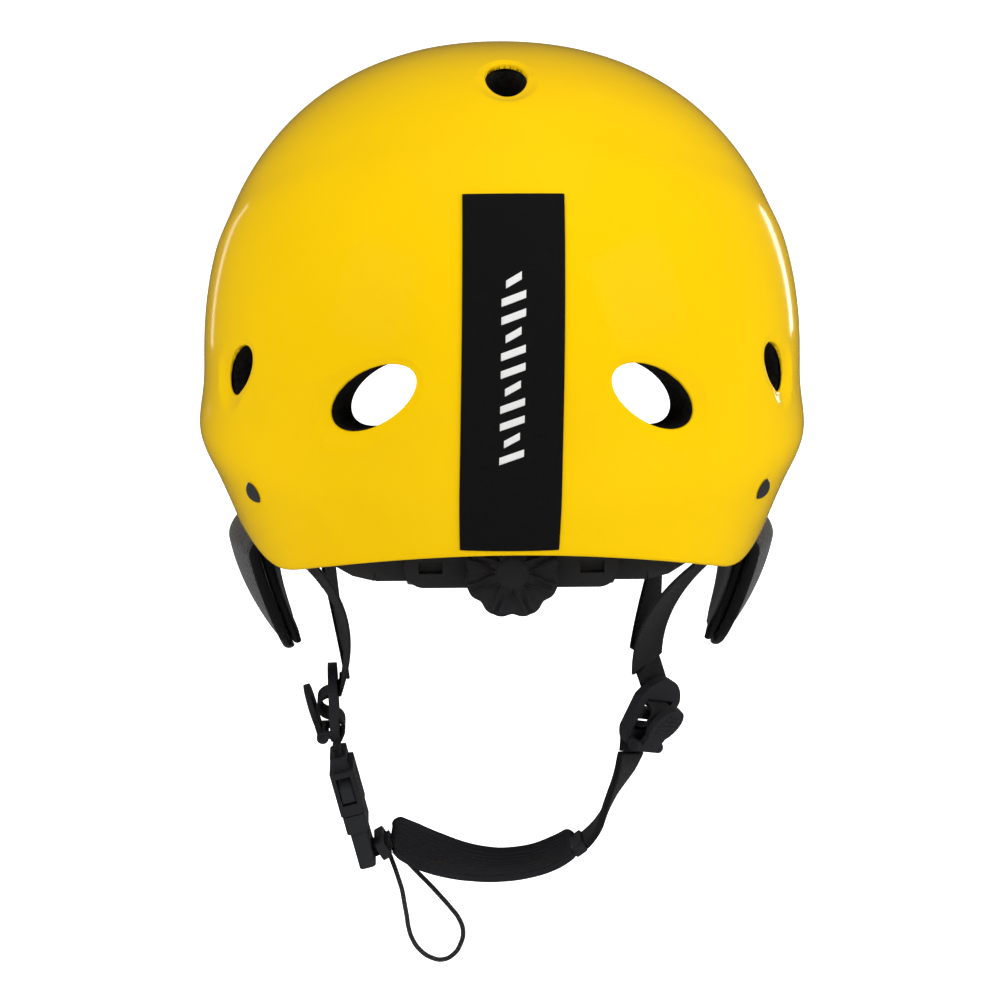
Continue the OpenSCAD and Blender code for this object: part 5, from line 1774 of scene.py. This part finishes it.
@dataclass
class Cradle:
    """The size-adjusting cradle: housing, bands, nape pad and dial."""

    dial_z: float = -54.5
    radius: float = 16.0
    petals: int = 8
    knob_rear: float = -109.6
    depth: float = 6.5

    def build(self, wardrobe: Wardrobe, works: NodeWorks) -> None:
        """Builds the cradle's pieces and the knob."""
        for node, name, body, edge in (
                ("cradle_housing", "housing_body", "cradle", 0.6),
                ("cradle_cover", "housing_cover", "cradle", 0.5),
                ("left_band", "left_band_body", "left_band_slider", 0.35),
                ("right_band", "right_band_body", "right_band_slider", 0.35)):
            wardrobe.place(softened(node, name, edge, 2), "cradle_plastic", body, [node])
        wardrobe.place(self.nape(), "pad_fabric", "cradle", ["nape_pad"])
        knob = self.knob(works, wardrobe)
        wardrobe.place(knob, "dial_plastic", "dial", ["dial_knob"])
        for node, finish in (("temple_pegs", "cradle_plastic"), ("peg_caps", "cradle_plastic"),
                             ("dial_pinion", "gear_plastic"), ("ratchet_spring", "spring_steel"),
                             ("dial_screw", "spring_steel"), ("rivets", "rivet_metal"),
                             ("rivet_washers", "rivet_metal"),
                             ("strap_anchors", "anchor_plastic")):
            wardrobe.dress(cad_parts[node], finish)

    def nape(self) -> bpy.types.Object:
        """Returns the crowned pad of the cradle."""
        low, high = (np.array(corner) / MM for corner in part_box("nape_pad"))
        u, t = np.meshgrid(np.linspace(-1, 1, 61), np.linspace(0, 1, 25))
        x = u * (high[0] - 0.4)
        z = blend(high[2] - 0.4, low[2] + 0.4, t)
        back = np.stack([x, np.full_like(x, low[1] + 0.05), z], -1)
        swell = (1 - np.abs(u) ** 6) * (1 - np.abs(2 * t - 1) ** 4)
        front = back.copy()
        front[..., 1] += 2.2 + 0.0032 * x**2 + 2.8 * swell
        points, faces, _ = closed_grid(front, back, 0.35, 4)
        return new_object("nape_cushion", points * MM, faces, dome_frame=False)

    def knob(self, works: NodeWorks, wardrobe: Wardrobe) -> bpy.types.Object:
        """Returns the petalled knob, one petal repeated round the dial's axis."""
        step = 2 * math.pi / self.petals
        turns = np.linspace(-step / 2, step / 2, 29)
        shares = np.concatenate([np.linspace(0.2, 0.93, 30), np.linspace(0.945, 1.0, 6)])
        across, share = np.meshgrid(turns, shares)
        edge = np.abs(across) / (step / 2)
        outline = self.radius * (1.0 - 0.075 * (1 - smooth_step(edge / 0.62)))
        r = share * outline
        hub = 1 - smooth_step((r - 4.6) / 1.3)
        pocket_width = 0.30 * smooth_step((r - 5.0) / 7.5) + 0.06
        pocket = 1 - smooth_step((edge - pocket_width * 1.6) / 0.2)
        pocket = pocket * smooth_step((r - 6.0) / 1.4)
        rib = np.exp(-(((edge - pocket_width * 1.6 - 0.16) / 0.14) ** 2))
        rib = rib * smooth_step((r - 5.2) / 1.2) * (1 - smooth_step((share - 0.93) / 0.07))
        seam = np.exp(-(((1 - edge) / 0.12) ** 2)) * smooth_step((r - 6.5) / 2.0)
        relief = 1.55 + 0.75 * hub + 0.95 * rib - 0.75 * pocket - 0.5 * seam
        relief = relief - 1.1 * smooth_step((share - 0.9) / 0.1)
        front_y = self.knob_rear + 2.3 - relief
        side_angle = across + math.pi / 2
        x, z = r * np.cos(side_angle), r * np.sin(side_angle)
        rows = [np.stack([x, front_y, z], -1)]
        last_x, last_z, last_y = x[-1], z[-1], front_y[-1]
        wall = []
        for down in (0.35, 0.8, 0.97, 1.0):
            inset = 0.985 if down == 1.0 else 1.0
            wall.append(np.stack([last_x * inset, blend(last_y, self.knob_rear + self.depth, down),
                                  last_z * inset], -1))
        for scale in (0.8, 0.79, 0.2):
            y = self.knob_rear + (self.depth if scale == 0.8 else self.depth - 1.9)
            wall.append(np.stack([last_x * scale, np.full_like(last_x, y), last_z * scale], -1))
        grid = np.vstack([rows[0], np.array(wall)])
        count, cols = grid.shape[:2]
        faces: list[Face] = []
        for i in range(count - 1):
            faces += [[i * cols + j, i * cols + j + 1, (i + 1) * cols + j + 1, (i + 1) * cols + j]
                      for j in range(cols - 1)]
        local = grid.reshape(-1, 3) * MM
        sector = new_object("knob_petals", local, faces, dome_frame=False, outward=False)
        works.run(sector, works.round_tree, {"Count": self.petals,
                                             "Material": wardrobe.materials["dial_plastic"]})
        work = bmesh.new()
        work.from_mesh(sector.data)
        borders = [edge for edge in work.edges if edge.is_boundary]
        bmesh.ops.holes_fill(work, edges=borders, sides=0)
        bmesh.ops.recalc_face_normals(work, faces=work.faces)
        bmesh.ops.translate(work, verts=work.verts,
                            vec=(0.0, 0.0, (self.dial_z - SEAT_HEIGHT) * MM))
        for face in work.faces:
            face.smooth = True
        work.to_mesh(sector.data)
        work.free()
        return sector


@dataclass
class Studio:
    """The camera, soft lights and pale floor."""

    azimuth: float = -2.0
    elevation: float = 12.5
    distance: float = 1.3
    lens: float = 129.6
    aim: tuple[float, float, float] = (0.0, 0.0, -0.1401)
    soft_light: float = 0.42
    gloss_light: float = 0.06

    def build_camera(self) -> None:
        """Places the camera."""
        a, e = math.radians(self.azimuth), math.radians(self.elevation)
        back = Vector((math.sin(a) * math.cos(e), -math.cos(a) * math.cos(e), math.sin(e)))
        right = Vector((math.cos(a), math.sin(a), 0.0))
        up = back.cross(right)
        data = bpy.data.cameras.new("camera")
        data.lens = self.lens
        data.sensor_width = 36.0
        data.shift_x = -0.001
        data.clip_start = 0.05
        camera = bpy.data.objects.new("camera", data)
        turn = Matrix((right, up, back)).transposed()
        camera.matrix_world = Matrix.Translation(Vector(self.aim) + back * self.distance) @ (
            turn.to_4x4())
        bpy.context.scene.collection.objects.link(camera)
        bpy.context.scene.camera = camera

    def lamp(self, name: str, place: Point, size: tuple[float, float], power: float,
             mirrored: bool = False, target: Point = (0.0, 0.0, -0.1)) -> None:
        """Adds one softbox that looks at a target, and says whether gloss mirrors it."""
        data = bpy.data.lights.new(name, "AREA")
        data.shape = "RECTANGLE"
        data.size, data.size_y = size
        data.energy = power
        lamp = bpy.data.objects.new(name, data)
        look = Vector(target) - Vector(place)
        lamp.matrix_world = Matrix.Translation(place) @ look.to_track_quat("-Z", "Y").to_matrix(
        ).to_4x4()
        bpy.context.scene.collection.objects.link(lamp)
        lamp.visible_camera = False
        lamp.visible_glossy = mirrored

    def build(self) -> None:
        """Adds the lights, the surrounding light and the floor."""
        self.lamp("key", (1.9, -1.1, 0.9), (1.4, 1.4), 32)
        self.lamp("fill", (-1.9, -1.1, 0.9), (1.4, 1.4), 23)
        self.lamp("top", (0.0, -0.2, 1.7), (1.8, 1.8), 9)
        self.lamp("strip", (0.75, 1.1, -0.08), (0.1, 0.34), 0.35, True)
        self.lamp("edge", (-0.66, 1.14, -0.08), (0.07, 0.4), 0.1, True)
        bpy.context.scene.view_settings.view_transform = "Standard"
        world = bpy.data.worlds.new("studio")
        world.use_nodes = True
        board = Board(world.node_tree)
        sky = world.node_tree.nodes["Background"]
        sky.inputs["Color"].default_value = (1, 1, 1, 1)
        glossy = board.add("ShaderNodeLightPath").outputs["Is Glossy Ray"]
        world.node_tree.links.new(
            board.math("MULTIPLY_ADD", glossy, self.gloss_light - self.soft_light,
                       self.soft_light), sky.inputs["Strength"])
        bpy.context.scene.world = world
        size, level = FLOOR_HALF_SIZE, FLOOR_LEVEL
        mesh = bpy.data.meshes.new("floor")
        mesh.from_pydata([(-size, -size, level), (size, -size, level), (size, size, level),
                          (-size, size, level)], [], [(0, 1, 2, 3)])
        floor = bpy.data.objects.new("floor", mesh)
        bpy.context.scene.collection.objects.link(floor)
        material = bpy.data.materials.new("pale_floor")
        material.use_nodes = True
        shader = material.node_tree.nodes["Principled BSDF"]
        shader.inputs["Base Color"].default_value = (0.9, 0.9, 0.9, 1)
        shader.inputs["Roughness"].default_value = 0.9
        shader.inputs["Emission Color"].default_value = (1, 1, 1, 1)
        seen = Board(material.node_tree).add("ShaderNodeLightPath").outputs["Is Camera Ray"]
        material.node_tree.links.new(seen, shader.inputs["Emission Strength"])
        floor.visible_glossy = False
        mesh.materials.append(material)


def main() -> None:
    """Builds the whole helmet."""
    logging.basicConfig(level=logging.INFO, format="%(message)s")
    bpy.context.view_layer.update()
    studio = Studio()
    studio.build_camera()
    wardrobe = Wardrobe()
    works = NodeWorks()
    PullCord().build(wardrobe)
    Shell().build(wardrobe)
    Liner().build(wardrobe, works)
    Straps().build(wardrobe, works)
    Adjusters().build(wardrobe)
    Buckle().build(wardrobe)
    ChinCup().build(wardrobe)
    EarGuards().build(wardrobe, works)
    Cradle().build(wardrobe, works)
    studio.build()


if __name__ == "__main__":
    main()
